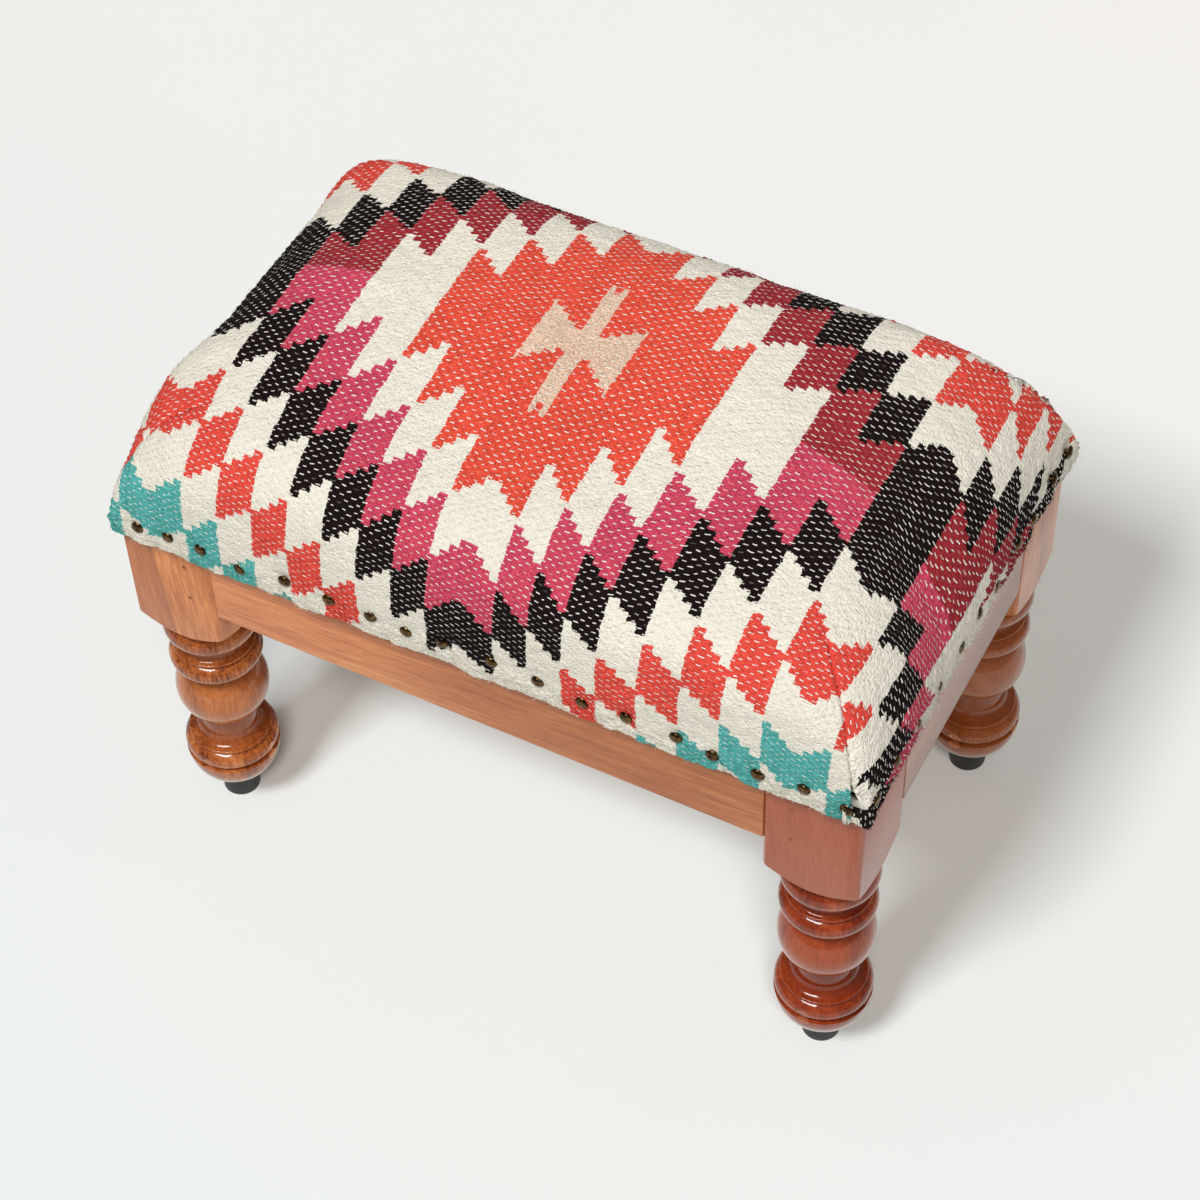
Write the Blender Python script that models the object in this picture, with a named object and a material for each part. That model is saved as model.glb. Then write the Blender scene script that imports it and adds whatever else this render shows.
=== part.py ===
"""Kilim footstool: a small four-legged stool with turned legs and a nailed, padded kilim seat.

Units are metres and +Z is up. The long side runs along X, the front faces -Y, and the origin
lies on the floor under the middle of the stool.

Construction: each leg is one turning whose top stays square as a post. Four rails are tenoned
into the posts, and the long rails are pinned through the post faces. A plywood board is screwed
down on the frame and carries the foam. The kilim cover is drawn over the foam and held to the
frame by a row of dome nails just above its hem. A rubber ferrule sits on each leg's spigot.
"""
import math

import bmesh
import bpy
from mathutils import Vector

# Clearance between two pieces that touch
FIT = 0.0003

# Frame
FRAME_LENGTH = 0.450
FRAME_DEPTH = 0.272
POST_SIDE = 0.056
POST_HEIGHT = 0.095
POST_EASE = 0.0012

# Rails and their joints
RAIL_HEIGHT = 0.073
RAIL_THICKNESS = 0.022
LONG_RAIL_SETBACK = 0.001
TENON_THICKNESS = 0.010
TENON_LENGTH = 0.028
TENON_TOP_SHOULDER = 0.010
TENON_BOTTOM_SHOULDER = 0.004
PIN_DIAMETER = 0.0026
PIN_LENGTH = 0.020
PIN_INSET = 0.016
PIN_LOW_HEIGHT = 0.010
PIN_HIGH_HEIGHT = 0.036
PIN_TIP_SHARE = 0.55
PIN_SIDES = 8

# Rubber ferrules and the spigots they sit on
FERRULE_HEIGHT = 0.0195
FERRULE_FLOOR = 0.004
FERRULE_EDGE = 0.0008
FERRULE_TOP_RADIUS = 0.0106
FERRULE_FOOT_RADIUS = 0.0112
SPIGOT_RADIUS = 0.0075

# Turning, from the ferrule up to the square post
FOOT_BALL_RADIUS = 0.0283
FOOT_BALL_RISE = 0.0260
FOOT_BEAD_RADIUS = 0.0283
FOOT_BEAD_TUBE = 0.0067
FOOT_RIDGE_RADIUS = 0.0250
FOOT_RIDGE_HEIGHT = 0.0030
NECK_COVE_HEIGHT = 0.0085
NECK_FILLET_RADIUS = 0.0195
NECK_RADIUS = 0.0168
NECK_HEIGHT = 0.0103
BALL_RADIUS = 0.0278
COLLAR_GROOVE_RADIUS = 0.0170
COLLAR_GROOVE_HEIGHT = 0.0020
COLLAR_BEAD_RADIUS = 0.0277
COLLAR_BEAD_TUBE = 0.0072
COLLAR_RIDGE_RADIUS = 0.0246
COLLAR_RIDGE_HEIGHT = 0.0030
COLLAR_COVE_HEIGHT = 0.0053
COLLAR_COVE_RADIUS = 0.0225
BAND_RADIUS = 0.0280
BAND_TUBE = 0.0084
BAND_LOW_ANGLE = 50.0
BAND_HIGH_ANGLE = 75.0
BAND_FLARE_HEIGHT = 0.0052
BAND_NECK_RADIUS = 0.0218
BAND_NECK_HEIGHT = 0.0035
SHOULDER_RISE = 0.0095
SHOULDER_OVERSHOOT = 1.1
TURNING_SIDES = 20

# Seat board and its screws
BOARD_THICKNESS = 0.009
BOARD_INSET = 0.0025
BOARD_CORNER_RADIUS = 0.008
SCREW_LENGTH = 0.030
SCREW_HEAD_RADIUS = 0.0040
SCREW_HEAD_HEIGHT = 0.0026
SCREW_SHANK_RADIUS = 0.0019
SCREW_TIP_LENGTH = 0.004
SCREW_TIP_SHARE = 0.3
SCREW_SPACING = 0.130
SCREW_SIDES = 10

# Foam, kilim cover and dome nails
FOAM_THICKNESS = 0.050
COVER_THICKNESS = 0.004
COVER_SWELL = 0.001
HEM_BELOW_FRAME_TOP = 0.021
ROLL_BELOW_FRAME_TOP = 0.008
END_ROLL_POWER = 7.0
END_ROLL_ROOT = 0.44
SIDE_ROLL_POWER = 7.0
SIDE_ROLL_ROOT = 0.31
COVER_COLUMNS = 22
COVER_ROWS = 18
NAIL_PITCH = 0.0254
NAIL_END_INSET = 0.011
NAIL_ABOVE_HEM = 0.0095
NAIL_RADIUS = 0.0045
NAIL_CROWN_RADIUS = 0.0020
NAIL_RISE = 0.0026
NAIL_SINK = 0.0015
NAIL_SIDES = 6

# Heights and reaches that follow from the sizes above
BALL_DROP = math.sqrt(BALL_RADIUS ** 2 - NECK_RADIUS ** 2)
BALL_LIFT = math.sqrt(BALL_RADIUS ** 2 - COLLAR_GROOVE_RADIUS ** 2)
BAND_DROP = BAND_TUBE * math.sin(math.radians(BAND_LOW_ANGLE))
BAND_LIFT = BAND_TUBE * math.sin(math.radians(BAND_HIGH_ANGLE))
TURNING_HEIGHT = (FERRULE_HEIGHT + FIT + FOOT_BALL_RISE + 2 * FOOT_BEAD_TUBE + FOOT_RIDGE_HEIGHT
                  + NECK_COVE_HEIGHT + NECK_HEIGHT + BALL_DROP + BALL_LIFT + COLLAR_GROOVE_HEIGHT
                  + 2 * COLLAR_BEAD_TUBE + COLLAR_RIDGE_HEIGHT + COLLAR_COVE_HEIGHT
                  + BAND_FLARE_HEIGHT + BAND_DROP + BAND_LIFT + BAND_NECK_HEIGHT + SHOULDER_RISE)
FRAME_TOP = TURNING_HEIGHT + POST_HEIGHT
RAIL_BOTTOM = FRAME_TOP - RAIL_HEIGHT
POST_X = (FRAME_LENGTH - POST_SIDE) / 2
POST_Y = (FRAME_DEPTH - POST_SIDE) / 2
LONG_RAIL_Y = FRAME_DEPTH / 2 - LONG_RAIL_SETBACK - RAIL_THICKNESS / 2
SHORT_RAIL_X = FRAME_LENGTH / 2 - RAIL_THICKNESS / 2
BOARD_BOTTOM = FRAME_TOP + FIT
BOARD_TOP = BOARD_BOTTOM + BOARD_THICKNESS
FOAM_BOTTOM = BOARD_TOP + FIT
SEAT_TOP = FOAM_BOTTOM + FOAM_THICKNESS + FIT + COVER_THICKNESS
HEM_HEIGHT = FRAME_TOP - HEM_BELOW_FRAME_TOP
ROLL_HEIGHT = FRAME_TOP - ROLL_BELOW_FRAME_TOP
NAIL_HEIGHT = HEM_HEIGHT + NAIL_ABOVE_HEM
HEM_X = FRAME_LENGTH / 2 + FIT + COVER_THICKNESS
HEM_Y = FRAME_DEPTH / 2 + FIT + COVER_THICKNESS

# Finish of each kind of piece: base colour, roughness, metallic
FINISHES = {
    "turned_wood": ((0.36, 0.125, 0.052), 0.22, 0.0),
    "rail_wood": ((0.46, 0.20, 0.095), 0.42, 0.0),
    "plywood": ((0.62, 0.46, 0.28), 0.70, 0.0),
    "steel": ((0.50, 0.50, 0.50), 0.35, 1.0),
    "rubber": ((0.028, 0.028, 0.028), 0.60, 0.0),
    "foam": ((0.85, 0.79, 0.62), 0.90, 0.0),
    "kilim": ((0.70, 0.10, 0.06), 0.95, 0.0),
}


def clear_scene():
    for item in list(bpy.data.objects):
        bpy.data.objects.remove(item, do_unlink=True)


def finish(kind):
    """The Principled material of one kind of piece, made on first use."""
    material = bpy.data.materials.get(kind)
    if material is None:
        colour, roughness, metallic = FINISHES[kind]
        material = bpy.data.materials.new(kind)
        material.use_nodes = True
        shader = material.node_tree.nodes["Principled BSDF"]
        shader.inputs["Base Color"].default_value = (*colour, 1.0)
        shader.inputs["Roughness"].default_value = roughness
        shader.inputs["Metallic"].default_value = metallic
    return material


def link(name, form, parent, location=(0, 0, 0)):
    """Put a bmesh form into the scene as a named object under its parent."""
    mesh = bpy.data.meshes.new(name)
    bmesh.ops.recalc_face_normals(form, faces=form.faces)
    form.to_mesh(mesh)
    form.free()
    item = bpy.data.objects.new(name, mesh)
    bpy.context.scene.collection.objects.link(item)
    item.parent = parent
    item.location = location
    return item


def piece(name, form, kind, parent, location=(0, 0, 0), smooth_angle=math.radians(35)):
    """A finished sub-part."""
    item = link(name, form, parent, location)
    item.data.materials.append(finish(kind))
    item.data.shade_smooth()
    item.data.set_sharp_from_angle(angle=smooth_angle)
    return item


def tool(name, form, parent, location=(0, 0, 0)):
    """A hidden helper that only shapes another piece."""
    item = link(name, form, parent, location)
    item.hide_render = True
    item.display_type = "WIRE"
    return item


def combine(item, helper, operation):
    change = item.modifiers.new(helper.name, "BOOLEAN")
    change.operation = operation
    change.solver = "EXACT"
    change.object = helper


def loft(rings, form=None):
    """A closed solid through rings of points, with a flat cap on the first and the last ring."""
    form = form or bmesh.new()
    loops = [[form.verts.new(point) for point in ring] for ring in rings]
    for lower, upper in zip(loops, loops[1:]):
        for k in range(len(lower)):
            j = (k + 1) % len(lower)
            form.faces.new((lower[k], lower[j], upper[j], upper[k]))
    form.faces.new(reversed(loops[0]))
    form.faces.new(loops[-1])
    return form


def circle(radius, height, sides, centre=(0, 0)):
    """A ring of points about a vertical axis."""
    turn = math.tau / sides
    return [(centre[0] + radius * math.cos(k * turn), centre[1] + radius * math.sin(k * turn), height)
            for k in range(sides)]


def rectangle(x0, x1, y0, y1, height):
    return [(x0, y0, height), (x1, y0, height), (x1, y1, height), (x0, y1, height)]


def rounded_rectangle(half_x, half_y, radius, height, steps=4):
    """A level outline with quarter-round corners."""
    points = []
    for quarter, (sx, sy) in enumerate(((1, 1), (-1, 1), (-1, -1), (1, -1))):
        for k in range(steps + 1):
            angle = (quarter + k / steps) * math.pi / 2
            points.append((sx * (half_x - radius) + radius * math.cos(angle),
                           sy * (half_y - radius) + radius * math.sin(angle), height))
    return points


def arc(centre_r, centre_z, radius, start, end, steps):
    """Points (radius, height) of a turned bead or ball, between two angles in degrees."""
    points = []
    for k in range(steps + 1):
        angle = math.radians(start + (end - start) * k / steps)
        points.append((centre_r + radius * math.cos(angle), centre_z + radius * math.sin(angle)))
    return points


def cove(start, end, steps):
    """Points of a hollow quarter curve that leaves `start` level and meets `end` upright."""
    points = []
    for k in range(steps + 1):
        angle = math.pi / 2 * k / steps
        points.append((start[0] + (end[0] - start[0]) * math.sin(angle),
                       end[1] + (start[1] - end[1]) * math.cos(angle)))
    return points


def turned_profile():
    """The leg's turning as (radius, height) points from the spigot up past the square post."""
    shoulder = FERRULE_HEIGHT + FIT
    points = [(SPIGOT_RADIUS, FERRULE_FLOOR + FIT), (SPIGOT_RADIUS, shoulder)]

    equator = shoulder + FOOT_BALL_RISE
    foot_angle = math.degrees(math.asin(min(1.0, FOOT_BALL_RISE / FOOT_BALL_RADIUS)))
    points += arc(0, equator, FOOT_BALL_RADIUS, -foot_angle, 0, 5)

    bead_mid = equator + FOOT_BEAD_TUBE
    points += arc(FOOT_BEAD_RADIUS - FOOT_BEAD_TUBE, bead_mid, FOOT_BEAD_TUBE, -65, 65, 4)

    ridge = bead_mid + FOOT_BEAD_TUBE + FOOT_RIDGE_HEIGHT
    points.append((FOOT_RIDGE_RADIUS, ridge))
    fillet = ridge + NECK_COVE_HEIGHT
    points += cove((FOOT_RIDGE_RADIUS - POST_EASE, ridge), (NECK_FILLET_RADIUS, fillet), 3)

    neck = fillet + NECK_HEIGHT
    points.append((NECK_RADIUS, neck))
    ball_mid = neck + BALL_DROP
    ball_low = -math.degrees(math.asin(BALL_DROP / BALL_RADIUS))
    ball_high = math.degrees(math.asin(BALL_LIFT / BALL_RADIUS))
    points += arc(0, ball_mid, BALL_RADIUS, ball_low, ball_high, 7)[1:]

    collar_mid = ball_mid + BALL_LIFT + COLLAR_GROOVE_HEIGHT + COLLAR_BEAD_TUBE
    points += arc(COLLAR_BEAD_RADIUS - COLLAR_BEAD_TUBE, collar_mid, COLLAR_BEAD_TUBE, -75, 65, 4)

    collar_ridge = collar_mid + COLLAR_BEAD_TUBE + COLLAR_RIDGE_HEIGHT
    points.append((COLLAR_RIDGE_RADIUS, collar_ridge))
    cove_top = collar_ridge + COLLAR_COVE_HEIGHT
    points += cove((COLLAR_RIDGE_RADIUS - POST_EASE, collar_ridge), (COLLAR_COVE_RADIUS, cove_top), 3)

    band_mid = cove_top + BAND_FLARE_HEIGHT + BAND_DROP
    band_top = band_mid + BAND_LIFT + BAND_NECK_HEIGHT
    points += arc(BAND_RADIUS - BAND_TUBE, band_mid, BAND_TUBE, -BAND_LOW_ANGLE, BAND_HIGH_ANGLE, 4)
    points.append((BAND_NECK_RADIUS, band_top))

    flat = POST_SIDE / 2
    corner = POST_SIDE * math.sqrt(0.5)
    outside = corner * SHOULDER_OVERSHOOT
    slope = (SHOULDER_RISE - POST_EASE) / (corner - flat)
    points.append((flat, band_top + POST_EASE))
    points.append((outside, band_top + POST_EASE + slope * (outside - flat)))
    points.append((outside, FRAME_TOP + POST_SIDE))
    return points


def rail_sections(span, middle):
    """Rings of one rail along X, with its thickness about y = middle: tenon, body and tenon."""
    shoulder = span / 2 - FIT
    tip = span / 2 + TENON_LENGTH
    body = (middle - RAIL_THICKNESS / 2, middle + RAIL_THICKNESS / 2, RAIL_BOTTOM, FRAME_TOP)
    tenon = (middle - TENON_THICKNESS / 2, middle + TENON_THICKNESS / 2,
             RAIL_BOTTOM + TENON_BOTTOM_SHOULDER, FRAME_TOP - TENON_TOP_SHOULDER)
    stations = ((-tip, tenon), (-shoulder, tenon), (-shoulder, body),
                (shoulder, body), (shoulder, tenon), (tip, tenon))
    return [[(x, low, bottom), (x, high, bottom), (x, high, top), (x, low, top)]
            for x, (low, high, bottom, top) in stations]


def pin_places(sx):
    """Centres (x, z) of the two pins through one post into the long rail's tenon."""
    x = sx * (FRAME_LENGTH / 2 - POST_SIDE + PIN_INSET)
    return [(x, RAIL_BOTTOM + PIN_LOW_HEIGHT), (x, RAIL_BOTTOM + PIN_HIGH_HEIGHT)]


def pin_rings(x, z, sy, radius, stations):
    """Rings about an axis along Y; a station is a depth behind the post face and a share of the radius."""
    face = sy * FRAME_DEPTH / 2
    rings = []
    for depth, share in stations:
        flat = circle(radius * share, 0, PIN_SIDES, (x, z))
        rings.append([(a, face - sy * depth, b) for a, b, _ in flat])
    return rings


def pin_holes(sx, sy, form):
    """Clearance holes for the two pins of one post, open at the post face."""
    for x, z in pin_places(sx):
        stations = ((-POST_EASE, 1), (PIN_LENGTH + FIT, 1))
        loft(pin_rings(x, z, sy, PIN_DIAMETER / 2 + FIT, stations), form)
    return form


def make_leg(name, sx, sy, parent):
    """Square blank, turned below the post, mortised for two rails and drilled for the pins."""
    half = POST_SIDE / 2
    centre = (sx * POST_X, sy * POST_Y, 0)
    outline = rounded_rectangle(half, half, POST_EASE, 0, steps=1)
    blank = [[(x, y, z) for x, y, _ in outline] for z in (0, FRAME_TOP)]
    leg = piece(name, loft(blank), "turned_wood", parent, centre)

    rings = [circle(radius, height, TURNING_SIDES) for radius, height in turned_profile()]
    combine(leg, tool(name + "_turning", loft(rings), parent, centre), "INTERSECT")

    low = RAIL_BOTTOM + TENON_BOTTOM_SHOULDER - FIT
    high = FRAME_TOP - TENON_TOP_SHOULDER + FIT
    wide = TENON_THICKNESS / 2 + FIT
    deep = TENON_LENGTH + FIT
    x_in = sx * (FRAME_LENGTH / 2 - POST_SIDE)
    y_in = sy * (FRAME_DEPTH / 2 - POST_SIDE)
    long_x = sorted((x_in - sx * POST_EASE, x_in + sx * deep))
    short_y = sorted((y_in - sy * POST_EASE, y_in + sy * deep))
    long_y = (sy * LONG_RAIL_Y - wide, sy * LONG_RAIL_Y + wide)
    short_x = (sx * SHORT_RAIL_X - wide, sx * SHORT_RAIL_X + wide)
    mortises = loft([rectangle(*long_x, *long_y, z) for z in (low, high)])
    loft([rectangle(*short_x, *short_y, z) for z in (low, high)], mortises)
    combine(leg, tool(name + "_mortises", mortises, parent), "DIFFERENCE")

    combine(leg, tool(name + "_pin_holes", pin_holes(sx, sy, bmesh.new()), parent), "DIFFERENCE")


def make_pins(corner, sx, sy, parent):
    for place, (x, z) in zip(("low", "high"), pin_places(sx)):
        stations = ((0, 1), (PIN_LENGTH - PIN_DIAMETER, 1), (PIN_LENGTH, PIN_TIP_SHARE))
        rings = pin_rings(x, z, sy, PIN_DIAMETER / 2, stations)
        piece(f"pin_{corner}_{place}", loft(rings), "steel", parent)


def make_ferrule(corner, sx, sy, parent):
    """A rubber cup that sits on the leg's spigot and stands on the floor."""
    cup = SPIGOT_RADIUS + FIT
    profile = ((FERRULE_FOOT_RADIUS - FERRULE_EDGE, 0), (FERRULE_FOOT_RADIUS, FERRULE_EDGE),
               (FERRULE_TOP_RADIUS, FERRULE_HEIGHT - FERRULE_EDGE),
               (FERRULE_TOP_RADIUS - FERRULE_EDGE, FERRULE_HEIGHT),
               (cup, FERRULE_HEIGHT), (cup, FERRULE_FLOOR))
    rings = [circle(radius, height, TURNING_SIDES) for radius, height in profile]
    piece(f"ferrule_{corner}", loft(rings), "rubber", parent, (sx * POST_X, sy * POST_Y, 0))


def screw_places():
    """Names and centres of the screws that hold the seat board to the rails."""
    places = [("left", -SHORT_RAIL_X, 0), ("right", SHORT_RAIL_X, 0)]
    for side, sy in (("front", -1), ("back", 1)):
        for spot, step in (("left", -1), ("middle", 0), ("right", 1)):
            places.append((f"{side}_{spot}", step * SCREW_SPACING, sy * LONG_RAIL_Y))
    return places


def screw_rings(x, y, spread, reach, top):
    """Rings of a countersunk screw, from its tip up; `spread` and `reach` grow it into its hole."""
    neck = BOARD_TOP - FIT - SCREW_HEAD_HEIGHT
    tip = BOARD_TOP - FIT - SCREW_LENGTH
    shank = SCREW_SHANK_RADIUS + spread
    head = SCREW_HEAD_RADIUS + spread
    profile = ((shank * SCREW_TIP_SHARE, tip - reach), (shank, tip + SCREW_TIP_LENGTH - reach),
               (shank, neck - reach), (head, BOARD_TOP - FIT - reach), (head, top))
    return [circle(radius, height, SCREW_SIDES, (x, y)) for radius, height in profile]


def screw_holes():
    holes = bmesh.new()
    for _, x, y in screw_places():
        loft(screw_rings(x, y, FIT, FIT, BOARD_TOP + SCREW_HEAD_HEIGHT), holes)
    return holes


def make_rails(parent):
    """Long rails stand a little behind the post faces; short rails lie flush with them."""
    drill = tool("rail_screw_holes", screw_holes(), parent)
    long_span = FRAME_LENGTH - 2 * POST_SIDE
    short_span = FRAME_DEPTH - 2 * POST_SIDE
    for name, sy in (("rail_front", -1), ("rail_back", 1)):
        rail = piece(name, loft(rail_sections(long_span, sy * LONG_RAIL_Y)), "rail_wood", parent)
        pins = pin_holes(1, sy, pin_holes(-1, sy, bmesh.new()))
        combine(rail, tool(name + "_pin_holes", pins, parent), "DIFFERENCE")
        combine(rail, drill, "DIFFERENCE")
    for name, sx in (("rail_left", -1), ("rail_right", 1)):
        rings = rail_sections(short_span, sx * SHORT_RAIL_X)
        sections = [[(y, x, z) for x, y, z in ring] for ring in rings]
        rail = piece(name, loft(sections), "rail_wood", parent)
        combine(rail, drill, "DIFFERENCE")


def make_board(parent):
    """Plywood seat board with countersunk holes, and the screws that hold it down."""
    half_x = FRAME_LENGTH / 2 - BOARD_INSET
    half_y = FRAME_DEPTH / 2 - BOARD_INSET
    rings = [rounded_rectangle(half_x, half_y, BOARD_CORNER_RADIUS, z) for z in (BOARD_BOTTOM, BOARD_TOP)]
    board = piece("seat_board", loft(rings), "plywood", parent)
    combine(board, tool("board_screw_holes", screw_holes(), parent), "DIFFERENCE")
    for name, x, y in screw_places():
        piece(f"screw_{name}", loft(screw_rings(x, y, 0, 0, BOARD_TOP - FIT / 2)), "steel", parent)


def seat_point(u, v):
    """A point of the padded top; u and v run from -1 to 1 across the length and the depth."""
    end_roll = (1 - abs(u) ** END_ROLL_POWER) ** END_ROLL_ROOT
    side_roll = (1 - abs(v) ** SIDE_ROLL_POWER) ** SIDE_ROLL_ROOT
    x = u * (HEM_X + COVER_SWELL)
    y = v * (HEM_Y + COVER_SWELL)
    return x, y, ROLL_HEIGHT + (SEAT_TOP - ROLL_HEIGHT) * end_roll * side_roll


def edge_spaced(count):
    """Values from -1 to 1, closer together towards both ends, where the seat rolls over."""
    return [math.sin(math.pi / 2 * (2 * k / count - 1)) for k in range(count + 1)]


def seat_skin():
    """The open outer surface of the seat: the crowned top, its rolled edges and the band to the hem."""
    form = bmesh.new()
    rows = edge_spaced(COVER_ROWS)
    grid = [[form.verts.new(seat_point(u, v)) for v in rows] for u in edge_spaced(COVER_COLUMNS)]
    for i in range(COVER_COLUMNS):
        for j in range(COVER_ROWS):
            form.faces.new((grid[i][j], grid[i + 1][j], grid[i + 1][j + 1], grid[i][j + 1]))
    last_i = COVER_COLUMNS
    last_j = COVER_ROWS
    border = [grid[i][0] for i in range(last_i)]
    border += [grid[last_i][j] for j in range(last_j)]
    border += [grid[i][last_j] for i in range(last_i, 0, -1)]
    border += [grid[0][j] for j in range(last_j, 0, -1)]
    tuck_x = HEM_X / (HEM_X + COVER_SWELL)
    tuck_y = HEM_Y / (HEM_Y + COVER_SWELL)
    hem = [form.verts.new((vert.co.x * tuck_x, vert.co.y * tuck_y, HEM_HEIGHT)) for vert in border]
    for k in range(len(border)):
        j = (k + 1) % len(border)
        form.faces.new((hem[k], hem[j], border[j], border[k]))
    form.normal_update()
    return form


def nail_seats():
    """Points on the cover's side where the dome nails sit, with their outward directions."""
    share = NAIL_ABOVE_HEM / (ROLL_HEIGHT - HEM_HEIGHT)
    reach_x = HEM_X + COVER_SWELL * share
    reach_y = HEM_Y + COVER_SWELL * share
    along_x = FRAME_LENGTH / 2 - NAIL_END_INSET
    along_y = FRAME_DEPTH / 2 - NAIL_END_INSET
    seats = []
    for half, turn in ((along_x, 0), (along_y, 1)):
        steps = round(2 * half / NAIL_PITCH)
        for k in range(steps + 1):
            place = half * (2 * k / steps - 1)
            for side in (-1, 1):
                if turn:
                    seats.append((Vector((side * reach_x, place, NAIL_HEIGHT)), Vector((side, 0, 0))))
                else:
                    seats.append((Vector((place, side * reach_y, NAIL_HEIGHT)), Vector((0, side, 0))))
    return seats


def nail_domes():
    """Low domes for the nail heads, each sunk a little into the cloth."""
    form = bmesh.new()
    up = Vector((0, 0, 1))
    for seat, outward in nail_seats():
        across = up.cross(outward)
        rings = []
        for depth, radius in ((-NAIL_SINK, NAIL_RADIUS), (0, NAIL_RADIUS), (NAIL_RISE, NAIL_CROWN_RADIUS)):
            flat = circle(radius, 0, NAIL_SIDES)
            rings.append([seat + outward * depth + across * a + up * b for a, b, _ in flat])
        loft(rings, form)
    return form


def make_cover(parent):
    """The kilim, an open-bottomed shell drawn over the foam, with its dome nails driven in."""
    cover = piece("kilim_cover", seat_skin(), "kilim", parent)
    thicken = cover.modifiers.new("cloth", "SOLIDIFY")
    thicken.thickness = COVER_THICKNESS
    thicken.offset = -1.0
    thicken.use_even_offset = True
    combine(cover, tool("dome_nails", nail_domes(), parent), "UNION")


def make_foam(parent):
    """The pad under the kilim: the seat's own form, one cloth thickness further in."""
    form = seat_skin()
    depth = COVER_THICKNESS + FIT
    moves = [vert.normal * vert.calc_shell_factor() * depth for vert in form.verts]
    for vert, move in zip(form.verts, moves):
        vert.co -= move
    everything = form.verts[:] + form.edges[:] + form.faces[:]
    bmesh.ops.bisect_plane(form, geom=everything, plane_co=(0, 0, FOAM_BOTTOM), plane_no=(0, 0, 1),
                           clear_inner=True)
    bmesh.ops.holes_fill(form, edges=[edge for edge in form.edges if edge.is_boundary], sides=0)
    piece("foam_pad", form, "foam", parent)


def main():
    clear_scene()
    stool = bpy.data.objects.new("footstool", None)
    bpy.context.scene.collection.objects.link(stool)
    for row, sy in (("front", -1), ("back", 1)):
        for side, sx in (("left", -1), ("right", 1)):
            corner = f"{row}_{side}"
            make_leg(f"leg_{corner}", sx, sy, stool)
            make_ferrule(corner, sx, sy, stool)
            make_pins(corner, sx, sy, stool)
    make_rails(stool)
    make_board(stool)
    make_foam(stool)
    make_cover(stool)


main()
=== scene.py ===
import math
import random

import bmesh
import bpy
import numpy as np
from mathutils import Matrix, Vector


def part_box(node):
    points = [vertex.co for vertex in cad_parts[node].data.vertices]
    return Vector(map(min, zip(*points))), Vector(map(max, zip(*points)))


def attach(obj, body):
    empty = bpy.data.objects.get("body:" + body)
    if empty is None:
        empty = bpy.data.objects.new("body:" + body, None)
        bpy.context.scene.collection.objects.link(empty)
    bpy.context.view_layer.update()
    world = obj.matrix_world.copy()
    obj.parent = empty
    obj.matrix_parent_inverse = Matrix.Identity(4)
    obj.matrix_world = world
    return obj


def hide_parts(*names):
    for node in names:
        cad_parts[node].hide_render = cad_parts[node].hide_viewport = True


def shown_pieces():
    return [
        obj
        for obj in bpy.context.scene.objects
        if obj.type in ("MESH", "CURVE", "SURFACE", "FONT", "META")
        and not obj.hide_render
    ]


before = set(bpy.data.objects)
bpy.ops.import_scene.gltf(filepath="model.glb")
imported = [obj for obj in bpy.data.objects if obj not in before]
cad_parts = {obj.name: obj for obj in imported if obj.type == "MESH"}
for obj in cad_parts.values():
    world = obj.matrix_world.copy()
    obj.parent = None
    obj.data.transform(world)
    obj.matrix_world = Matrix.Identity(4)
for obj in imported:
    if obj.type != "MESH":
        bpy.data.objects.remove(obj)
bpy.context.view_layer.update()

# Looks of the kilim footstool. Units are metres, +Z is up and the front faces -Y.
# Every piece rides the one body, and its place comes from the boxes of the CAD nodes.
BODY = "root"
CORNERS = {"front_left": (-1, -1), "front_right": (1, -1), "back_left": (-1, 1), "back_right": (1, 1)}

# Camera, placed to repeat the photograph's view
CAMERA_PLACE = (0.54224, -0.97189, 1.50784)
CAMERA_TARGET = (-0.01048, 0.02125, 0.135)
CAMERA_ROLL = math.radians(-2.1936)
CAMERA_LENS = 90.574
CAMERA_SENSOR = 36.0

# Studio light: name, place, aim, size, power and tint of each softbox
PLAIN = (1.0, 1.0, 1.0)
STOOL_LAMPS = (("key", (-0.5, -2.35, 4.85), (0, 0, 0.15), (2.0, 1.2), 168.0, PLAIN),
               ("front_fill", (1.7, -2.3, 4.6), (0, 0, 0.1), (3.6, 3.6), 112.0, PLAIN),
               ("overhead", (0.0, 0.6, 3.4), (0, 0.5, 0), (3.2, 3.2), 14.0, PLAIN))
FLOOR_LAMPS = (("floor_key", (-1.2, -5.8, 8.4), (0, 0.2, 0), (2.2, 2.2), 670.0, (0.98, 1.0, 1.025)),
               ("floor_fill", (3.26, -5.84, 8.8), (0, 0.2, 0), (2.2, 2.2), 550.0, (1.0, 0.955, 0.90)))
MIRRORED_LAMPS = ("key",)
WORLD_STRENGTH = 0.18
FLOOR_REACH = 6.0

# Wood grain runs a little askew, in radians
GRAIN_TILT = 0.06

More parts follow.
